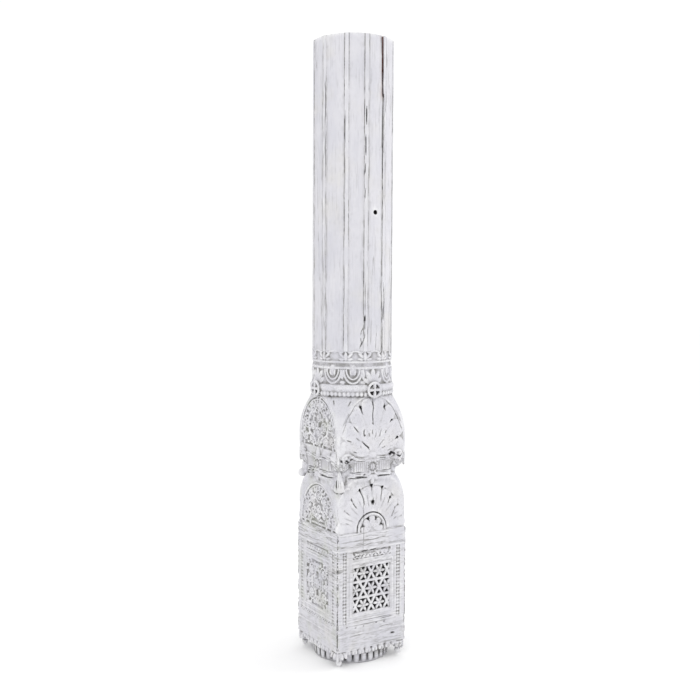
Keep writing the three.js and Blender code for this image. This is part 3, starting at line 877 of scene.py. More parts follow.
def buildForms():
    whole, fourFaces, fourCorners = [], makeApron(), makeBud() + makeClasp()
    whole += makeFoot()
    report("foot")
    for make in (makeBlock, makeLowerCushion, makeUpperCushion):
        body, front, side = make()
        whole.append(body)
        for turn in (0, 2):
            whole += [turned(front, turn), turned(side, turn + 1)]
        report(make.__name__)
    waistBody, waistCorner, rosette = makeWaist()
    whole.append(waistBody)
    fourFaces = gather(fourFaces + [rosette] + makeBoss())
    fourCorners = gather(fourCorners + [waistCorner])
    drop = gather(makeDrop())
    whole += makeRing() + makeNeck() + [makeShaft()]
    for turn in range(4):
        whole += [turned(fourFaces, turn), spunBy(fourCorners, 45 - 90 * turn)]
        if turn not in (waist["brokenTurn"], waist["knobTurn"]):
            whole.append(spunBy(drop, 45 - 90 * turn))
    whole.append(spunBy(gather(makeKnobs()), 45 - 90 * waist["knobTurn"]))
    report("waist, ring, neck and shaft")
    return gather(whole)


def remesh(mesh, size):
    holder = objectOf(mesh)
    grain = holder.modifiers.new("grain", "REMESH")
    grain.mode = "VOXEL"
    grain.voxel_size = size
    grain.use_smooth_shade = True
    return withModifiers(holder)


def decimate(mesh, triangles):
    holder = objectOf(mesh)
    thin = holder.modifiers.new("thin", "DECIMATE")
    thin.decimate_type = "COLLAPSE"
    thin.ratio = min(1, triangles / (2 * len(mesh.polygons)))
    even = holder.modifiers.new("even", "WEIGHTED_NORMAL")
    even.weight = 60
    return withModifiers(holder)


forms = buildForms()
report(f"forms joined: {len(forms.polygons)} faces")
fine = remesh(forms, column["voxel"])
report(f"remeshed: {len(fine.polygons)} faces")


# ---- sculpted strokes, wear and the masks the paint reads, painted shade and highlights among them ----

# wear of the surface, and the depths that set the painted shade in hollows and the painted highlight on
# ridges
wearAndShade = {
    "lumps": 1.0, "pits": 0.7,              # how far broad and small noise moves the surface, in mm
    "chip": 2.2,                            # bites out of the block's corners
    "fineHollow": 0.8, "broadHollow": 3.6,  # depths at which a hollow is as dark as it gets
    "ridge": 0.7,
    "strokesFrom": 105,                     # strokes touch nothing nearer to the axis
}

# drilled eyes on the shells of the front and back: (u, height, radius, depth)
drilledEyes = [
    (-51, 963, 5, 12), (50, 960, 5, 12), (84, 909, 4.5, 10), (109, 842, 5.5, 12),
    (0, 670, 4.5, 9), (-53, 657, 4.5, 9), (47, 658, 4.5, 9), (81, 617, 3.5, 7),
]


def drill(mesh, turn):
    # the eyes, the wedges round the rose and, on the front, the old hole
    pile = []
    for u, z, radius, deep in ([lowerCushion["hole"]] if turn == 0 else []) + drilledEyes:
        prism(pile, 12, radius, 15, u if turn == 0 else -u, z, 148 - deep, 170)
    for angle in (-69, -23, 23, 69):
        (u, z), _ = ray(507, angle, 43, 44)
        prism(pile, 3, 10, 180 - angle, u, z, 138, 170)
    return combine(mesh, turned(gather(pile), turn), "DIFFERENCE")


class Sculpt:
    # vertex positions as arrays, moved by strokes drawn on the faces
    def __init__(self, mesh):
        self.mesh = mesh
        n = len(mesh.vertices)
        flat = np.empty(n * 3, np.float32)
        mesh.vertices.foreach_get("co", flat)
        self.co = flat.reshape(-1, 3).astype(float)
        edges = np.empty(len(mesh.edges) * 2, np.int32)
        mesh.edges.foreach_get("vertices", edges)
        self.edges = edges.reshape(-1, 2)
        self.count = np.maximum(np.bincount(self.edges.ravel(), minlength=n), 1).astype(float)
        self.inkAndShade = np.zeros(n)

    def averaged(self, values):
        a, b = self.edges[:, 0], self.edges[:, 1]
        out = np.empty_like(values)
        for k in range(values.shape[1]):
            total = np.bincount(a, values[b, k], len(values)) + np.bincount(b, values[a, k], len(values))
            out[:, k] = total / self.count
        return out

    def normals(self):
        self.mesh.vertices.foreach_set("co", self.co.astype(np.float32).ravel())
        self.mesh.update()
        flat = np.empty(len(self.co) * 3, np.float32)
        self.mesh.vertex_normals.foreach_get("vector", flat)
        return flat.reshape(-1, 3).astype(float)

    def face(self, turn):
        # (u, out) of every vertex as seen on one face
        a = radians(90 * turn)
        x, y = self.co[:, 0], self.co[:, 1]
        return x * cos(a) - y * sin(a), -(x * sin(a) + y * cos(a))

    def stroke(self, turn, points, width, deep, inkAndShade=0.8, mirror=False):
        # an incised line on a face, tapering at both ends: pressed in and darkened with dirt and painted
        # shade
        u, out = self.face(turn)
        if mirror:
            u = -u
        z = self.co[:, 2]
        line = np.array(points, float)
        low, high = line.min(0) - width, line.max(0) + width
        near = (u > low[0]) & (u < high[0]) & (z > low[1]) & (z < high[1])
        pick = np.where(near & (out > wearAndShade["strokesFrom"]))[0]
        if not len(pick):
            return
        pu, pz = u[pick], z[pick]
        best = np.full(len(pick), 1e9)
        share = np.zeros(len(pick))
        for k, (a, b) in enumerate(zip(line, line[1:])):
            d = b - a
            t = np.clip(((pu - a[0]) * d[0] + (pz - a[1]) * d[1]) / max(d @ d, 1e-9), 0, 1)
            away = np.hypot(pu - a[0] - t * d[0], pz - a[1] - t * d[1])
            closer = away < best
            best = np.where(closer, away, best)
            share = np.where(closer, (k + t) / (len(line) - 1), share)
        taper = np.clip(np.sin(np.pi * np.clip(share, 0.08, 0.92)) * 1.8, 0, 1)
        amount = np.clip(1 - best / width, 0, 1) * taper
        a = radians(90 * turn)
        self.co[pick, 0] += deep * amount * sin(a)
        self.co[pick, 1] += deep * amount * cos(a)
        self.inkAndShade[pick] = np.maximum(self.inkAndShade[pick], inkAndShade * np.clip(1.5 * amount, 0, 1))


def hash3(i, j, k, seed):
    # a repeatable number from 0 to 1 for each cell
    h = (i * 374761393 + j * 668265263 + k * 2147483647 + seed * 1274126177) & 0x7FFFFFFF
    h = ((h ^ (h >> 13)) * 1274126177) & 0x7FFFFFFF
    return ((h ^ (h >> 16)) & 0xFFFF) / 65535.0


def cloud(points, scale, seed):
    # smooth noise from 0 to 1; scale is the size of a lump in mm, along x, y and z
    p = points / np.array(scale, float)
    cell = np.floor(p).astype(np.int64)
    t = p - cell
    t = t * t * (3 - 2 * t)
    total = 0
    for dx in (0, 1):
        for dy in (0, 1):
            for dz in (0, 1):
                x, y, z = [t[:, k] if step else 1 - t[:, k] for k, step in enumerate((dx, dy, dz))]
                total = total + x * y * z * hash3(cell[:, 0] + dx, cell[:, 1] + dy, cell[:, 2] + dz, seed)
    return total


# carved lines on the shells of the front and back, darkened with dirt and painted shade: (points, width,
# depth, darkness)
carvedLines = [
    # upper palmette
    ([(-51, 965), (-49, 952), (-43, 937)], 4, 4, 0.75), ([(50, 962), (55, 947)], 3.5, 3.5, 0.5),
    ([(84, 910), (76, 900)], 4, 3, 0.5), ([(109, 842), (100, 835)], 4, 3, 0.4),
    ([(-82, 895), (-73, 885), (-62, 873)], 3.4, 3.5, 0.6), ([(-112, 846), (-93, 839)], 3.4, 3, 0.42),
    ([(-84, 802), (-67, 796)], 4, 3, 0.5), ([(84, 800), (66, 795)], 4, 3, 0.3),
    ([(-46, 836), (-32, 824), (-20, 814), (-15, 806)], 4, 5, 0.85),
    ([(50, 838), (38, 827), (24, 810)], 3.4, 3.5, 0.38),
    ([(-37, 880), (-38, 868), (-36, 856)], 4, 4, 0.5), ([(-30, 860), (-37, 857)], 4, 4, 0.6),
    ([(37, 874), (33, 862), (30, 850)], 3.2, 3, 0.32), ([(60, 872), (56, 862)], 3.4, 3, 0.3),
    ([(-72, 852), (-56, 840)], 3.2, 2.5, 0.25), ([(-2, 878), (0, 862)], 3.2, 2.5, 0.32),
    ([(-16, 868), (-13, 852)], 3.2, 2, 0.2), ([(16, 872), (12, 848)], 3.2, 2, 0.22),
    ([(-54, 822), (-50, 812)], 4, 3, 0.42), ([(56, 812), (40, 806)], 3.5, 2.5, 0.22),
    # lower shell
    ([(2, 672), (2, 661)], 4.5, 4.5, 0.8), ([(2, 664), (1, 648)], 2.6, 3, 0.42),
    ([(-53, 660), (-48, 648)], 4.6, 5, 0.8),
    ([(-50, 652), (-40, 632), (-35, 616), (-33, 600)], 3.4, 4, 0.62),
    ([(51, 661), (46, 650)], 4.4, 4.5, 0.62), ([(47, 654), (41, 628), (39, 606)], 2.6, 3, 0.38),
    ([(83, 622), (77, 608), (72, 595)], 3.2, 3.6, 0.5), ([(-88, 627), (-84, 616)], 4, 4, 0.62),
    ([(-83, 612), (-74, 600), (-66, 590)], 3.2, 3.6, 0.5), ([(-110, 579), (-95, 567)], 3.4, 3.6, 0.5),
    ([(105, 579), (102, 572)], 3.8, 3, 0.5), ([(101, 570), (92, 552), (88, 540)], 2.8, 3, 0.4),
    ([(112, 540), (96, 532)], 3, 2, 0.25), ([(-114, 540), (-96, 532)], 3, 2, 0.25),
]

# cracks, cuts, dirt and painted shadows on the front only
frontMarks = [
    ([(1, 996), (3, 962), (-1, 930), (2, 898)], 2.8, 4, 0.85), ([(-4, 905), (4, 896)], 3, 2, 0.4),
    ([(-35, 628), (-38, 590), (-36, 560), (-38, 520), (-36, 490), (-39, 438)], 1.9, 2.2, 0.5),
    ([(-34, 480), (-6, 483), (20, 479), (60, 477)], 2, 1.6, 0.4),
    ([(40, 471), (70, 469), (91, 471)], 1.9, 1.4, 0.42),
    ([(-30, 466), (0, 468), (26, 466)], 1.9, 1.4, 0.38),
    ([(24, 488), (56, 486), (80, 489)], 1.9, 1.2, 0.36),
    ([(-4, 454), (30, 452), (62, 455)], 1.9, 1.2, 0.34), ([(-70, 446), (-34, 444)], 1.9, 1.2, 0.3),
    ([(39, 160), (62, 161), (94, 163)], 3, 2, 0.6), ([(30, 129), (62, 131), (96, 129)], 2, 1.6, 0.34),
    ([(-100, 113), (-56, 115), (-10, 112)], 2, 1.4, 0.3), ([(-40, 93), (0, 95), (30, 92)], 2, 1.4, 0.3),
    ([(86, 97), (103, 95)], 5, 3, 0.8), ([(-78, 167), (20, 167), (109, 168)], 2.2, 2, 0.42),
    ([(-100, 153), (-20, 151), (108, 153)], 2.2, 2, 0.38), ([(-74, 142), (-67, 143)], 4, 2, 0.7),
    ([(-39, 144), (-33, 144)], 3.5, 2, 0.6), ([(17, 147), (25, 149)], 4, 2, 0.7),
    ([(52, 146), (60, 146)], 4, 2, 0.7), ([(-112, 150), (-104, 152)], 3, 2, 0.5),
    # painted shadows under the scrolls at the palmette's lower corners
    ([(72, 776), (82, 788), (96, 780)], 6.5, 5, 1.0), ([(104, 777), (118, 770), (128, 778)], 5, 4, 0.9),
    ([(-104, 764), (-112, 770), (-122, 774)], 6, 4, 0.9), ([(-98, 772), (-84, 776)], 4, 3, 0.6),
    # the frieze
    *[([(u, z), (u + w, z + r)], 3.8, 2.5, k) for u, z, w, r, k in (
        (-76, 408, 8, 3, 0.8), (-62, 412, 7, -5, 0.7), (-46, 406, 8, 8, 0.8), (-44, 427, 26, 1, 0.85),
        (-30, 409, 9, 4, 0.7), (-12, 412, 6, -6, 0.6), (-10, 428, 30, 1, 0.9), (4, 407, 9, 5, 0.8),
        (20, 411, 8, -4, 0.6), (34, 407, 7, 6, 0.6), (44, 426, 18, 1, 0.6), (52, 411, 8, -4, 0.5),
        (68, 408, 8, 4, 0.5))],
]

# long lines of the shaft, seen from the front
shaftMarks = [
    ([(36, 2096), (35.5, 1950), (36, 1800)], 3, 2.5, 0.6), ([(52, 2092), (52.5, 2040)], 2.5, 2, 0.6),
    ([(-33, 2052), (-33.5, 1989)], 3.6, 3, 0.9), ([(-36, 1952), (-35.5, 1878)], 3.2, 3, 0.85),
    ([(-37, 1850), (-37.5, 1812)], 2.6, 2, 0.7), ([(-36.5, 1760), (-38, 1720)], 2.4, 2, 0.6),
    # a drying crack from a knot down to the neck
    ([(-35.5, 1299), (-36, 1277)], 5, 5, 0.95), ([(-36.5, 1282), (-36.5, 1246)], 2.3, 3, 0.65),
    ([(-36.5, 1240), (-36, 1222), (-42, 1204), (-49, 1184)], 2.3, 3, 0.65),
    ([(-39, 1258), (-47, 1243), (-50, 1228)], 2, 2.5, 0.45),
    ([(-50, 1217), (-46.5, 1199), (-53, 1180)], 2.2, 3, 0.6),
    # dark lines beside the two front fillets
    ([(-35.5, 1420), (-35.5, 1300)], 2, 1.5, 0.4), ([(45, 1420), (49, 1356), (45, 1310)], 2.6, 2.5, 0.7),
    ([(46, 1330), (44.5, 1282)], 4.4, 3, 0.95), ([(43, 1270), (40, 1150)], 2.2, 2, 0.5),
    ([(15, 1264), (9, 1165)], 1.9, 1.5, 0.4),
]


def upright(u, width, deep, stretches):
    # a broken line straight up the shaft; each stretch is (top, foot, darkness)
    return [([(u, top), (u, low)], width, deep, dark) for top, low, dark in stretches]


leftMarks = upright(45.5, 2.2, 1.5, [(2150, 1990, 0.75), (1975, 1780, 0.7), (1765, 1610, 0.5)])

# on the corner between the front and the left face
cornerMarks = [
    *upright(7, 2.1, 1.5, [(2036, 1905, 0.65), (1890, 1740, 0.6), (1725, 1575, 0.5)]),
    *upright(7, 2, 1.2, [(1500, 1330, 0.4)]),
    # ticks in the field under the ring, and painted shade round the drop
    ([(-32, 988), (-27, 972)], 4, 3, 0.45), ([(34, 986), (26, 968)], 4, 3, 0.4),
    ([(-10, 700), (-9, 686), (-7, 668)], 4, 4, 0.95), ([(-24, 660), (-18, 650)], 4, 3, 0.6),
    ([(0, 706), (1, 684), (-1, 670)], 2.2, 2, 0.5), ([(7, 694), (10, 668)], 2.2, 2, 0.4),
    ([(-16, 655), (-8, 650), (0, 654)], 3, 2, 0.7), ([(2, 653), (10, 650), (18, 656)], 3, 2, 0.7),
    ([(16, 712), (20, 690), (24, 676)], 7, 3, 0.3),
    # round the clasp
    ([(8, 775), (12, 765)], 5.5, 5, 1.0), ([(20, 768), (28, 761), (37, 768)], 3.4, 3, 0.85),
    ([(-13, 771), (-9, 766)], 2.6, 2, 0.5), ([(-20, 757), (-2, 744), (16, 752), (32, 757)], 2.2, 2, 0.45),
    ([(-14, 742), (2, 731), (20, 738), (36, 744)], 2.2, 2, 0.4), ([(-9, 800), (-8, 776)], 2.2, 2, 0.35),
]


def speck(k):
    # one of the specks of dirt along the foot of the left panel
    u, z = -130 + 5.3 * k, 160 + 2.2 * ((7 * k) % 5 - 2)
    return [(u, z), (u + 2, z - 2)], 3.2, 2, 0.45 + 0.15 * ((3 * k) % 4)


# marks by the face they are drawn on: 0 is the front, 1 the left face, 0.5 the corner between
marksByFace = [(0, frontMarks), (0, shaftMarks), (1, leftMarks), (0.5, cornerMarks),
               (1, [speck(k) for k in range(50)])]

# shadows cut below and above the waist's reeding on every face
waistLines = [
    ([(-71, 775), (-28, 770)], 2.4, 2.5, 0.45), ([(26, 771), (60, 769)], 2.8, 3, 0.7),
    ([(-71, 766), (-26, 762)], 2.4, 2, 0.42), ([(24, 762), (66, 763)], 2.4, 2, 0.5),
    ([(-75, 707), (-52, 706), (-27, 703)], 3.6, 5, 0.95), ([(-40, 711), (-30, 714)], 3, 3, 0.8),
    ([(22, 706), (56, 704), (80, 702)], 3, 4, 0.85), ([(-78, 716), (-44, 716)], 2.4, 2, 0.45),
    ([(30, 717), (76, 716)], 2.2, 2, 0.4), ([(-74, 724), (-30, 724)], 2, 1.5, 0.35),
]


def carve(sculpt):
    for turn in (0, 2):
        for line in carvedLines:
            sculpt.stroke(turn, *line, mirror=turn == 2)
        # grooves down the middle of the lower shell's petals
        for angle in (9.2, 27, 45.5, 65.5):
            for side in (-1, 1):
                sculpt.stroke(turn, ray(505, side * angle, 84, 132), 4, 1.2, 0.12)
        # the dark half ring round the rose, painted shade and dirt in its groove, heavier on its left
        groove = [(64 * sin(t), 505 + 64 * cos(t)) for t in np.linspace(-1.57, 1.57, 40)]
        for k in range(0, 38, 2):
            sculpt.stroke(turn, groove[k:k + 4], 3.4, 4, 0.8 if k < 26 else 0.6)
        # the edge of the upper shell
        rim = [(60, 982), (84, 960), (109, 922), (126, 880), (132, 866)]
        for side in (-1, 1):
            sculpt.stroke(turn, [(side * u, z) for u, z in rim], 3, 2, 0.55 if side > 0 else 0.3)
    for turn, marks in marksByFace:
        for mark in marks:
            sculpt.stroke(turn, *mark)
    for turn in range(4):
        for line in waistLines:
            sculpt.stroke(turn, *line)


def weather(sculpt):
    # softens the surface with low lumps and takes chips off the block's upright corners
    co, normals, seed = sculpt.co, sculpt.normals(), column["seed"]
    lump = cloud(co, (26, 26, 60), seed) - 0.5
    small = cloud(co, (9, 9, 14), seed + 1) - 0.5
    co += normals * (wearAndShade["lumps"] * lump + wearAndShade["pits"] * small)[:, None]
    co[:, 2] = np.clip(co[:, 2], 0, column["height"])
    x, y, z = np.abs(co[:, 0]), np.abs(co[:, 1]), co[:, 2]
    corner = (x > 144.5) & (y > 144.5) & (z > 70) & (z < block["high"])
    bite = cloud(co, (90, 90, 8), seed + 2) * 0.5 + cloud(co, (90, 90, 31), seed + 3) * 0.5
    bite = np.clip((bite - 0.5) * 6, 0, 1) * corner
    for axis in (0, 1):
        co[:, axis] -= np.sign(co[:, axis]) * bite * wearAndShade["chip"]
    sculpt.inkAndShade = np.maximum(sculpt.inkAndShade, 0.3 * bite)


def hollows(sculpt):
    # hollows get dirt and painted shade, and ridges rubbed paint and a painted highlight: the surface
    # against its own smoothed copy
    normals = sculpt.normals()
    steps = 5
    smooth = sculpt.co.copy()
    for _ in range(steps):
        smooth = sculpt.averaged(smooth)
    fineCavity = ((smooth - sculpt.co) * normals).sum(1)
    for _ in range(steps * 4):
        smooth = sculpt.averaged(smooth)
    broadCavity = ((smooth - sculpt.co) * normals).sum(1)
    fineDark = np.clip(fineCavity / wearAndShade["fineHollow"], 0, 1)
    broadDark = np.clip(broadCavity / wearAndShade["broadHollow"], 0, 1)
    return fineDark * 0.55 + broadDark * 0.55, np.clip(-fineCavity / wearAndShade["ridge"], 0, 1)


def fading(value, dark, clear):
    # 1 where the value is at dark or deeper, 0 where it is at clear
    return np.clip((clear - value) / (clear - dark), 0, 1)


def bareWood(sculpt):
    # the walls of the split, up to the paint on the shaft's skin
    co = sculpt.co
    around = np.degrees(np.arctan2(co[:, 0], -co[:, 1]))
    reach = np.hypot(co[:, 0], co[:, 1])
    inSplit = (co[:, 2] > shaft["splitFoot"]) & (np.abs(around - shaft["splitTurn"]) < 6) & (reach < 151.5)
    return inSplit * fading(reach, 149.5, 151.5) * np.clip((reach - 114) / 3, 0, 1)


def inkAndShadeMask(sculpt):
    # what stays almost black: cut lines and cracks, and painted shade in holes, pockets, wedges, under the
    # beads and in the gaps between the drum's leaves
    co = sculpt.co
    z, reach = co[:, 2], np.hypot(co[:, 0], co[:, 1])
    inkAndShade = sculpt.inkAndShade.copy()

    def darken(where, amount=1.0):
        np.maximum(inkAndShade, where * amount, out=inkAndShade)

    inFront = co[:, 1] < -100
    u, height, radius, _ = lowerCushion["hole"]
    # painted shade inside the hole in the shaft and the old hole in the front
    shaftHole = np.hypot(co[:, 0] - shaft["holeOff"], z - shaft["holeHeight"]) < shaft["holeRadius"] + 1
    darken(shaftHole & inFront & (reach < 148.5))
    darken((np.hypot(co[:, 0] - u, z - height) < radius + 1) & (co[:, 1] > -147) & inFront)
    for turn in (0, 2):
        u, out = sculpt.face(turn)
        side = 1 if turn == 0 else -1
        # painted shade inside the drilled eyes and the old hole
        for place, height, radius, _ in [lowerCushion["hole"]] + drilledEyes:
            eye = (np.hypot(u - side * place, z - height) < radius + 1) & (out < 149) & (out > 100)
            darken(eye, fading(out, 146, 151))
        # dirt and painted shade on the floors of the lattice's pockets
        pocket = (np.abs(u) < 80) & (np.abs(z - 282) < 86) & (out < 147) & (out > 120)
        darken(pocket, fading(out, 141.3, 145.8) * 0.85)
    for turn in range(4):
        # painted shade in the wedges round the cross on each boss
        u, out = sculpt.face(turn)
        boss = (np.hypot(u, z - ring["bossHeight"]) < 24) & (out < 162) & (out > 120)
        darken(boss, fading(out, 157, 161))
    # a painted shadow under the row of beads
    shadowUnderBeads = (np.abs(z - 1001) < 4) & (reach > 135) & (z > 996)
    darken(shadowUnderBeads, 0.35 + 0.6 * (cloud(co, (14, 14, 14), 5) - 0.4))
    # painted shade on the drum, in the gaps between its leaves and up under the apron
    drum = (z < 70) & (reach < 146) & (reach > 120)
    darken(drum, fading(reach, 142.5, 146) * np.clip((z + 25) / 60, 0, 0.95))
    return inkAndShade


fine = drill(drill(fine, 0), 2)
report("drilled")
sculpt = Sculpt(fine)
weather(sculpt)
carve(sculpt)
report("sculpted")
recessDirtAndShade, edge = hollows(sculpt)
inkAndShade, bare = inkAndShadeMask(sculpt), bareWood(sculpt)
report("masks")

# the masks the paint reads: dirt and painted shade in hollows, rubbed paint and a painted highlight on
# ridges, dark cut lines with painted shade, bare wood
masks = {"recessDirtAndShade": recessDirtAndShade, "edge": edge, "inkAndShade": inkAndShade, "bare": bare}
for name, values in masks.items():
    layer = fine.attributes.new(name, "FLOAT", "POINT")
    layer.data.foreach_set("value", values.astype(np.float32))

finished = decimate(fine, column["triangles"])
report(f"thinned to {len(finished.polygons)} faces")
finished.transform(Matrix.Scale(0.001, 4))
finished.name = "carvedColumn"
for face in finished.polygons:
    face.use_smooth = True
piece = objectOf(finished, "carvedColumn")


# ---- paint ----

paint = {
    "fresh": (0.655, 0.648, 0.685),
    "cool": (0.55, 0.55, 0.605),
    "warm": (0.655, 0.64, 0.625),
    # lighter paint of rubbed ridges and of painted highlights
    "rubbedAndHighlight": (0.84, 0.84, 0.845),
    # grey of dirt, also painted as shade in hollows and grooves
    "grimeAndShade": (0.20, 0.195, 0.185),
    # near black of cut lines and cracks, also painted as shade in holes, pockets and under the apron
    "inkAndShade": (0.022, 0.020, 0.022),
    "wood": (0.030, 0.017, 0.015),
    "woodRed": (0.27, 0.105, 0.080),
    "moss": (0.42, 0.45, 0.33),
    # where each change of the paint starts and ends, in metres: heights, then distances from the axis
    "shaftFoot": (1.11, 1.18), "blockHead": (0.497, 0.502), "mossHead": (0.97, 1.0),
    "reedFoot": (0.724, 0.727), "reedHead": (0.758, 0.761),
    "drumFoot": (0.028, 0.062), "drumHead": (0.066, 0.07), "arrisFoot": (0.075, 0.085),
    # polish: where the painted highlight and polish fall; drum: where the drum's painted shade falls
    "arris": (0.1455, 0.1472), "polishAndHighlight": (0.184, 0.196), "drum": (0.1465, 0.149), "skin": (0.146, 0.1485),
    "mossSide": (-0.14, -0.136), "timberSide": (0.04, 0.0425),
    "reedFace": 0.1465, "reedPitch": 0.0084,
}


def plug(tree, node, sockets):
    # links or sets a node's inputs
    for key, value in sockets.items():
        if isinstance(value, bpy.types.NodeSocket):
            tree.links.new(value, node.inputs[key])
        else:
            node.inputs[key].default_value = value
    return node


def add(tree, kind, settings=None, sockets=None):
    made = tree.nodes.new("ShaderNode" + kind)
    for key, value in (settings or {}).items():
        setattr(made, key, value)
    return plug(tree, made, sockets or {})


def use(tree, which, sockets):
    return add(tree, "Group", {"node_tree": which}, sockets).outputs


def math(tree, how, a, b=0.0, clamp=False):
    return add(tree, "Math", {"operation": how, "use_clamp": clamp}, {0: a, 1: b}).outputs[0]


def times(tree, first, *others):
    for other in others:
        first = math(tree, "MULTIPLY", first, other)
    return first


def plus(tree, first, *others):
    for other in others:
        first = math(tree, "ADD", first, other)
    return first


def ramp(tree, value, low, high, toLow=0.0, toHigh=1.0):
    # a smooth step from low to high
    node = add(tree, "MapRange", {"interpolation_type": "SMOOTHSTEP"},
               {"Value": value, "From Min": low, "From Max": high, "To Min": toLow, "To Max": toHigh})
    return node.outputs["Result"]


def blend(tree, amount, a, b, how="MIX"):
    node = add(tree, "Mix", {"data_type": "RGBA", "blend_type": how}, {0: amount, 6: a, 7: b})
    return node.outputs[2]


def colour(name):
    return (*paint[name], 1)


def noise(tree, vector, scale, detail=3.0, rough=0.55):
    sockets = {"Vector": vector, "Scale": scale, "Detail": detail, "Roughness": rough}
    return add(tree, "TexNoise", None, sockets).outputs["Fac"]


def stretched(tree, vector, by, shift=(0, 0, 0)):
    return add(tree, "Mapping", None, {"Vector": vector, "Scale": by, "Location": shift}).outputs[0]


def group(name, inputs, outputs):
    # an empty node group with its named sockets
    made = bpy.data.node_groups.new(name, "ShaderNodeTree")
    for socket, kind in inputs:
        made.interface.new_socket(name=socket, in_out="INPUT", socket_type="NodeSocket" + kind)
    for socket, kind in outputs:
        made.interface.new_socket(name=socket, in_out="OUTPUT", socket_type="NodeSocket" + kind)
    return made, made.nodes.new("NodeGroupInput").outputs, made.nodes.new("NodeGroupOutput").inputs


def hairCracks():
    # thin dark lines along a stretched pattern, gathered in patches
    made, ins, outs = group("hairCracks", [("Vector", "Vector"), ("Scale", "Float"), ("Thickness", "Float"),
                                           ("Patches", "Float")], [("Mask", "Float")])
    pattern = noise(made, ins["Vector"], ins["Scale"], 4.0, 0.6)
    line = math(made, "ABSOLUTE", math(made, "SUBTRACT", pattern, 0.5))
    thin = ramp(made, math(made, "DIVIDE", line, ins["Thickness"]), 0.35, 1.0, 1.0, 0.0)
    patch = noise(made, stretched(made, ins["Vector"], (1.7, 1.7, 0.45), (3, 5, 1)), 6.0, 2.0)
    where = ramp(made, plus(made, patch, ins["Patches"]), 0.98, 1.1)
    made.links.new(times(made, thin, where), outs["Mask"])
    return made


def paintTone():
    # cool and warm clouds in white paint
    made, ins, outs = group("paintTone", [("Vector", "Vector"), ("Fresh", "Color"), ("Cool", "Color"),
                                          ("Warm", "Color"), ("Amount", "Float")], [("Color", "Color")])
    broad = ramp(made, noise(made, ins["Vector"], 5.0, 4.0), 0.4, 0.68)
    alongGrain = stretched(made, ins["Vector"], (1, 1, 0.22))
    fineGrain = ramp(made, noise(made, alongGrain, 26.0, 5.0, 0.65), 0.42, 0.66)
    warm = ramp(made, noise(made, stretched(made, ins["Vector"], (1, 1, 1), (7, 2, 4)), 7.0, 3.0), 0.5, 0.7)
    step = blend(made, times(made, broad, ins["Amount"]), ins["Fresh"], ins["Cool"])
    step = blend(made, times(made, warm, ins["Amount"]), step, ins["Warm"])
    step = blend(made, times(made, fineGrain, ins["Amount"], 0.6), step, ins["Cool"])
    made.links.new(step, outs["Color"])
    return made


def filletEdges():
    # how near a point of the shaft is to the edge of a fillet, in mm, and which side
    made, ins, outs = group("filletEdges", [("Vector", "Vector")],
                            [("Distance", "Float"), ("Left Side", "Float")])
    parts = add(made, "SeparateXYZ", None, {0: ins["Vector"]}).outputs
    angle = times(made, math(made, "ARCTAN2", parts[0], times(made, parts[1], -1.0)), 180 / pi)
    halfWidth = shaft["filletHalf"] + 0.35
    mmPerDegree = shaft["radius"] * pi / 180
    nearest = {-1: None, 1: None}
    for fillet in shaft["fillets"]:
        at = (fillet + 180) % 360 - 180
        for side in (-1, 1):
            away = math(made, "ABSOLUTE", math(made, "SUBTRACT", angle, at + side * halfWidth))
            nearest[side] = away if nearest[side] is None else math(made, "MINIMUM", nearest[side], away)
    both = math(made, "MINIMUM", nearest[-1], nearest[1])
    made.links.new(times(made, both, mmPerDegree), outs["Distance"])
    made.links.new(times(made, nearest[-1], mmPerDegree), outs["Left Side"])
    return made


cracksGroup, toneGroup, filletGroup = hairCracks(), paintTone(), filletEdges()


def grainLines(tree, place, zone):
    # hair cracks and dry streaks along the grain: upright on the shaft, level on the block
    def cracksAlong(by, shift, scale, thickness, patches):
        return use(tree, cracksGroup, {"Vector": stretched(tree, place, by, shift), "Scale": scale,
                                       "Thickness": thickness, "Patches": patches})["Mask"]

    def streaksAlong(by, scale, low, high):
        return ramp(tree, noise(tree, stretched(tree, place, by), scale, 3.0), low, high)

    cracks = plus(
        tree,
        times(tree, cracksAlong((1, 1, 0.05), (0, 0, 0), 22.0, 0.012, 0.50), zone["shaft"], 0.5),
        times(tree, cracksAlong((0.07, 0.07, 1), (0.2, 0.4, 0), 34.0, 0.016, 0.55), zone["block"], 0.75),
        times(tree, cracksAlong((1, 1, 0.6), (0, 0, 0), 24.0, 0.008, 0.46), zone["carved"], 0.5))
    streaks = plus(
        tree,
        times(tree, streaksAlong((1, 1, 0.07), 210.0, 0.5, 0.72), zone["shaft"], 0.22),
        times(tree, streaksAlong((0.14, 0.14, 1), 300.0, 0.48, 0.68), zone["block"], 0.42),
        times(tree, streaksAlong((1, 1, 1), 210.0, 0.5, 0.68), zone["carved"], 0.34))
    patches = ramp(tree, noise(tree, place, 9.0, 3.0), 0.35, 0.65, 0.35, 1.0)
    return cracks, times(tree, streaks, patches)


def filletLines(tree, place, onSkin):
    # broken dark lines of dirt beside the fillets, with painted shade heavier on their left side
    near = use(tree, filletGroup, {"Vector": place})
    dashes = noise(tree, stretched(tree, place, (3, 3, 1)), 9.0, 4.0, 0.7)
    both = times(tree, ramp(tree, near["Distance"], 0.5, 1.9, 1.0, 0.0),
                 ramp(tree, dashes, 0.46, 0.58, 0.12, 0.8))
    left = times(tree, ramp(tree, near["Left Side"], 0.5, 2.4, 1.0, 0.0),
                 ramp(tree, dashes, 0.4, 0.56, 0.3, 1.0))
    darker = ramp(tree, noise(tree, stretched(tree, place, (2, 2, 1)), 31.0, 3.0, 0.7), 0.5, 0.6)
    return times(tree, math(tree, "MAXIMUM", both, left), onSkin), darker


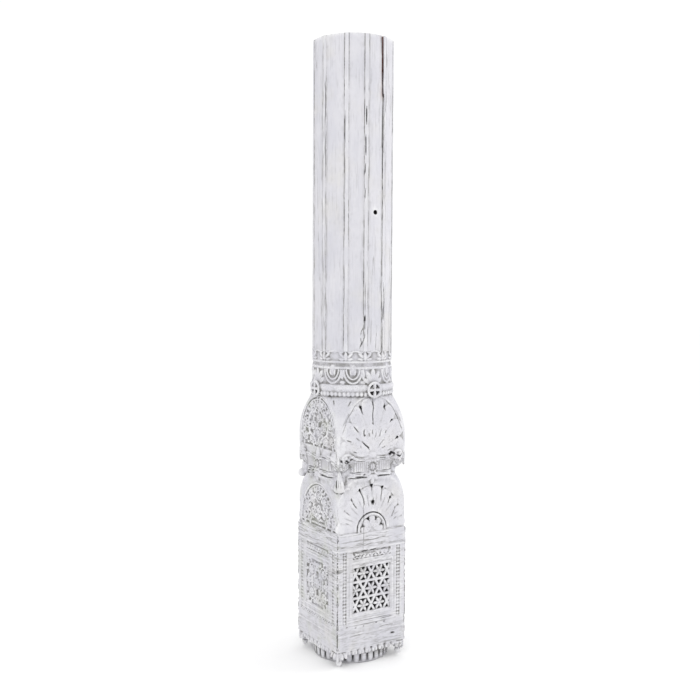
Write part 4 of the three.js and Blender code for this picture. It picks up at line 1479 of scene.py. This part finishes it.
def waistReeds(tree, x, y, height):
    # fine upright reeding round the waist, along whichever face it is on
    zone = times(tree, ramp(tree, height, *paint["reedFoot"]),
                 ramp(tree, height, *paint["reedHead"], 1.0, 0.0))
    flatX = math(tree, "GREATER_THAN", math(tree, "ABSOLUTE", y), paint["reedFace"])
    along = blend(tree, flatX, y, x)
    return times(tree, math(tree, "SINE", times(tree, along, 2 * pi / paint["reedPitch"])), zone)


def makePaint():
    made = bpy.data.materials.new("paintedWood")
    made.use_nodes = True
    tree = made.node_tree
    shader = tree.nodes["Principled BSDF"]
    place = add(tree, "TexCoord").outputs["Object"]
    x, y, height = add(tree, "SeparateXYZ", None, {0: place}).outputs
    reach = math(tree, "SQRT", plus(tree, times(tree, x, x), times(tree, y, y)))
    mask = {name: add(tree, "Attribute", {"attribute_name": name}).outputs["Fac"] for name in masks}
    zone = {"shaft": ramp(tree, height, *paint["shaftFoot"]),
            "block": ramp(tree, height, *paint["blockHead"], 1.0, 0.0)}
    belowShaft = math(tree, "SUBTRACT", 1.0, zone["shaft"])
    zone["carved"] = math(tree, "SUBTRACT", belowShaft, zone["block"], clamp=True)

    # aged paint, lighter on the ridges with rubbed paint and a painted highlight
    tone = use(tree, toneGroup, {"Vector": place, "Fresh": colour("fresh"), "Cool": colour("cool"),
                                 "Warm": colour("warm"), "Amount": 0.55})["Color"]
    rubbedAndHighlight = times(tree, mask["edge"], ramp(tree, noise(tree, place, 18.0), 0.35, 0.6), 0.75)
    tone = blend(tree, rubbedAndHighlight, tone, colour("rubbedAndHighlight"))

    # grey dirt and painted shade in hollows, in uneven patches
    hollowDirtAndShade = times(tree, mask["recessDirtAndShade"], ramp(tree, noise(tree, place, 26.0, 4.0), 0.34, 0.62, 0.4, 1.4))
    tone = blend(tree, math(tree, "MINIMUM", hollowDirtAndShade, 0.94), tone, colour("grimeAndShade"))
    cracks, streaks = grainLines(tree, place, zone)
    tone = blend(tree, cracks, tone, colour("grimeAndShade"))
    tone = blend(tree, streaks, tone, colour("grimeAndShade"))

    # a broken dark line up the block's corners
    nearer = math(tree, "MINIMUM", math(tree, "ABSOLUTE", x), math(tree, "ABSOLUTE", y))
    broken = ramp(tree, noise(tree, stretched(tree, place, (0.6, 0.6, 1)), 62.0, 4.0, 0.7), 0.44, 0.56)
    arris = times(tree, ramp(tree, nearer, *paint["arris"]), zone["block"], broken,
                  ramp(tree, height, *paint["arrisFoot"]), 0.85)
    tone = blend(tree, arris, tone, colour("inkAndShade"))

    # lighter where the corners above the block stand out furthest: a painted highlight with rubbed polish
    polishedAndHighlit = times(tree, ramp(tree, reach, *paint["polishAndHighlight"]), zone["carved"], 0.2)
    tone = blend(tree, polishedAndHighlit, tone, colour("rubbedAndHighlight"), "LIGHTEN")

    # a faint green tint low on the left face
    mossy = times(tree, ramp(tree, x, *paint["mossSide"], 1.0, 0.0),
                  ramp(tree, noise(tree, place, 13.0, 3.0), 0.5, 0.66),
                  ramp(tree, height, *paint["mossHead"], 0.2, 0.0))
    tone = blend(tree, mossy, tone, colour("moss"))

    # painted shade on the drum behind the buds, darkest in its hollows
    drum = times(tree, ramp(tree, height, *paint["drumFoot"]),
                 ramp(tree, height, *paint["drumHead"], 1.0, 0.0),
                 ramp(tree, reach, *paint["drum"], 1.0, 0.0),
                 ramp(tree, mask["recessDirtAndShade"], 0.0, 0.3, 0.62, 1.0))
    tone = blend(tree, drum, tone, colour("inkAndShade"))

    onSkin = times(tree, zone["shaft"], ramp(tree, reach, *paint["skin"]))
    # dirt lines and painted shade beside the fillets
    lines, darker = filletLines(tree, place, onSkin)
    tone = blend(tree, lines, tone, blend(tree, darker, colour("grimeAndShade"), colour("inkAndShade")))

    # cut lines and cracks stay almost black, and so does the painted shade in pockets and drilled eyes
    tone = blend(tree, ramp(tree, mask["inkAndShade"], 0.15, 0.85), tone, colour("inkAndShade"))

    # bare timber inside the split, redder on its left
    grain = noise(tree, stretched(tree, place, (1, 1, 0.06)), 130.0, 4.0, 0.6)
    timber = blend(tree, ramp(tree, grain, 0.4, 0.65), colour("wood"), colour("woodRed"))
    timber = blend(tree, ramp(tree, x, *paint["timberSide"]), timber, colour("wood"))
    tone = blend(tree, mask["bare"], tone, timber)

    reeds = waistReeds(tree, x, y, height)
    # painted shade in the grooves of the reeding, which is only a bump
    tone = blend(tree, times(tree, ramp(tree, reeds, -0.1, -0.9), 0.55), tone, colour("grimeAndShade"))

    grainHeight = noise(tree, stretched(tree, place, (1, 1, 0.12)), 160.0, 4.0, 0.6)
    sunk = math(tree, "MAXIMUM", cracks, lines)
    relief = plus(tree, times(tree, grainHeight, 0.5), times(tree, sunk, -1.2), times(tree, reeds, 1.2))
    bump = add(tree, "Bump", None, {"Strength": 0.35, "Distance": 0.0012, "Height": relief})
    rough = plus(tree, 0.62, times(tree, mask["recessDirtAndShade"], 0.2))
    plug(tree, shader, {"Base Color": tone, "Roughness": rough, "Normal": bump.outputs[0]})
    return made


finished.materials.clear()
finished.materials.append(makePaint())

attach(piece, "root")
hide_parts("carved_column")
report("paint")


# ---- stage, light and camera ----

studio = {
    "floor": 0.98, "sky": 1.04,
    # each light: place, size in metres, power in watts
    "keyLight": ((-3.4, -3.2, 3.6), 1.6, 30),
    "fillLight": ((3.6, -1.2, 2.2), 2.0, 30),
}

floorMesh = bmesh.new()
bmesh.ops.create_circle(floorMesh, cap_ends=True, segments=64, radius=40)
floor = objectOf(meshOf(floorMesh), "floor")
floorPaint = bpy.data.materials.new("paleFloor")
floorPaint.use_nodes = True
plug(floorPaint.node_tree, floorPaint.node_tree.nodes["Principled BSDF"],
     {"Base Color": (*[studio["floor"]] * 3, 1), "Roughness": 1.0, "Specular IOR Level": 0.0})
floor.data.materials.append(floorPaint)
floor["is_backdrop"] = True

world = bpy.data.worlds.new("studio")
scene.world = world
world.use_nodes = True
plug(world.node_tree, world.node_tree.nodes["Background"],
     {"Color": (1, 1, 1, 1), "Strength": studio["sky"]})

camera = {
    "azimuth": -31.5, "distance": 3.603, "height": 1.392, "pitch": 3.62, "lens": 48.76,
    "turn": 0.12, "roll": 0.263,
}


def softLight(name, place, size, power):
    data = bpy.data.lights.new(name, "AREA")
    data.shape = "SQUARE"
    data.size = size
    data.energy = power
    made = bpy.data.objects.new(name, data)
    scene.collection.objects.link(made)
    made.location = place
    aim = Vector((0, 0, 1.0)) - Vector(place)
    made.rotation_mode = "QUATERNION"
    made.rotation_quaternion = aim.to_track_quat("-Z", "Y")
    return made


for name in ("keyLight", "fillLight"):
    softLight(name, *studio[name])

cameraData = bpy.data.cameras.new("camera")
cameraData.lens = camera["lens"]
cameraData.sensor_width = 36
cameraObject = bpy.data.objects.new("camera", cameraData)
scene.collection.objects.link(cameraObject)
a = radians(camera["azimuth"])
cameraObject.location = (sin(a) * camera["distance"], -cos(a) * camera["distance"], camera["height"])
look = (Matrix.Rotation(a + radians(camera["turn"]), 4, "Z")
        @ Matrix.Rotation(radians(90 - camera["pitch"]), 4, "X")
        @ Matrix.Rotation(radians(camera["roll"]), 4, "Z"))
cameraObject.rotation_mode = "QUATERNION"
cameraObject.rotation_quaternion = look.to_quaternion()
scene.camera = cameraObject
scene.view_settings.view_transform = "Standard"

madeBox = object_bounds()
report(f"size {[tuple(round(x, 4) for x in c) for c in madeBox]}")
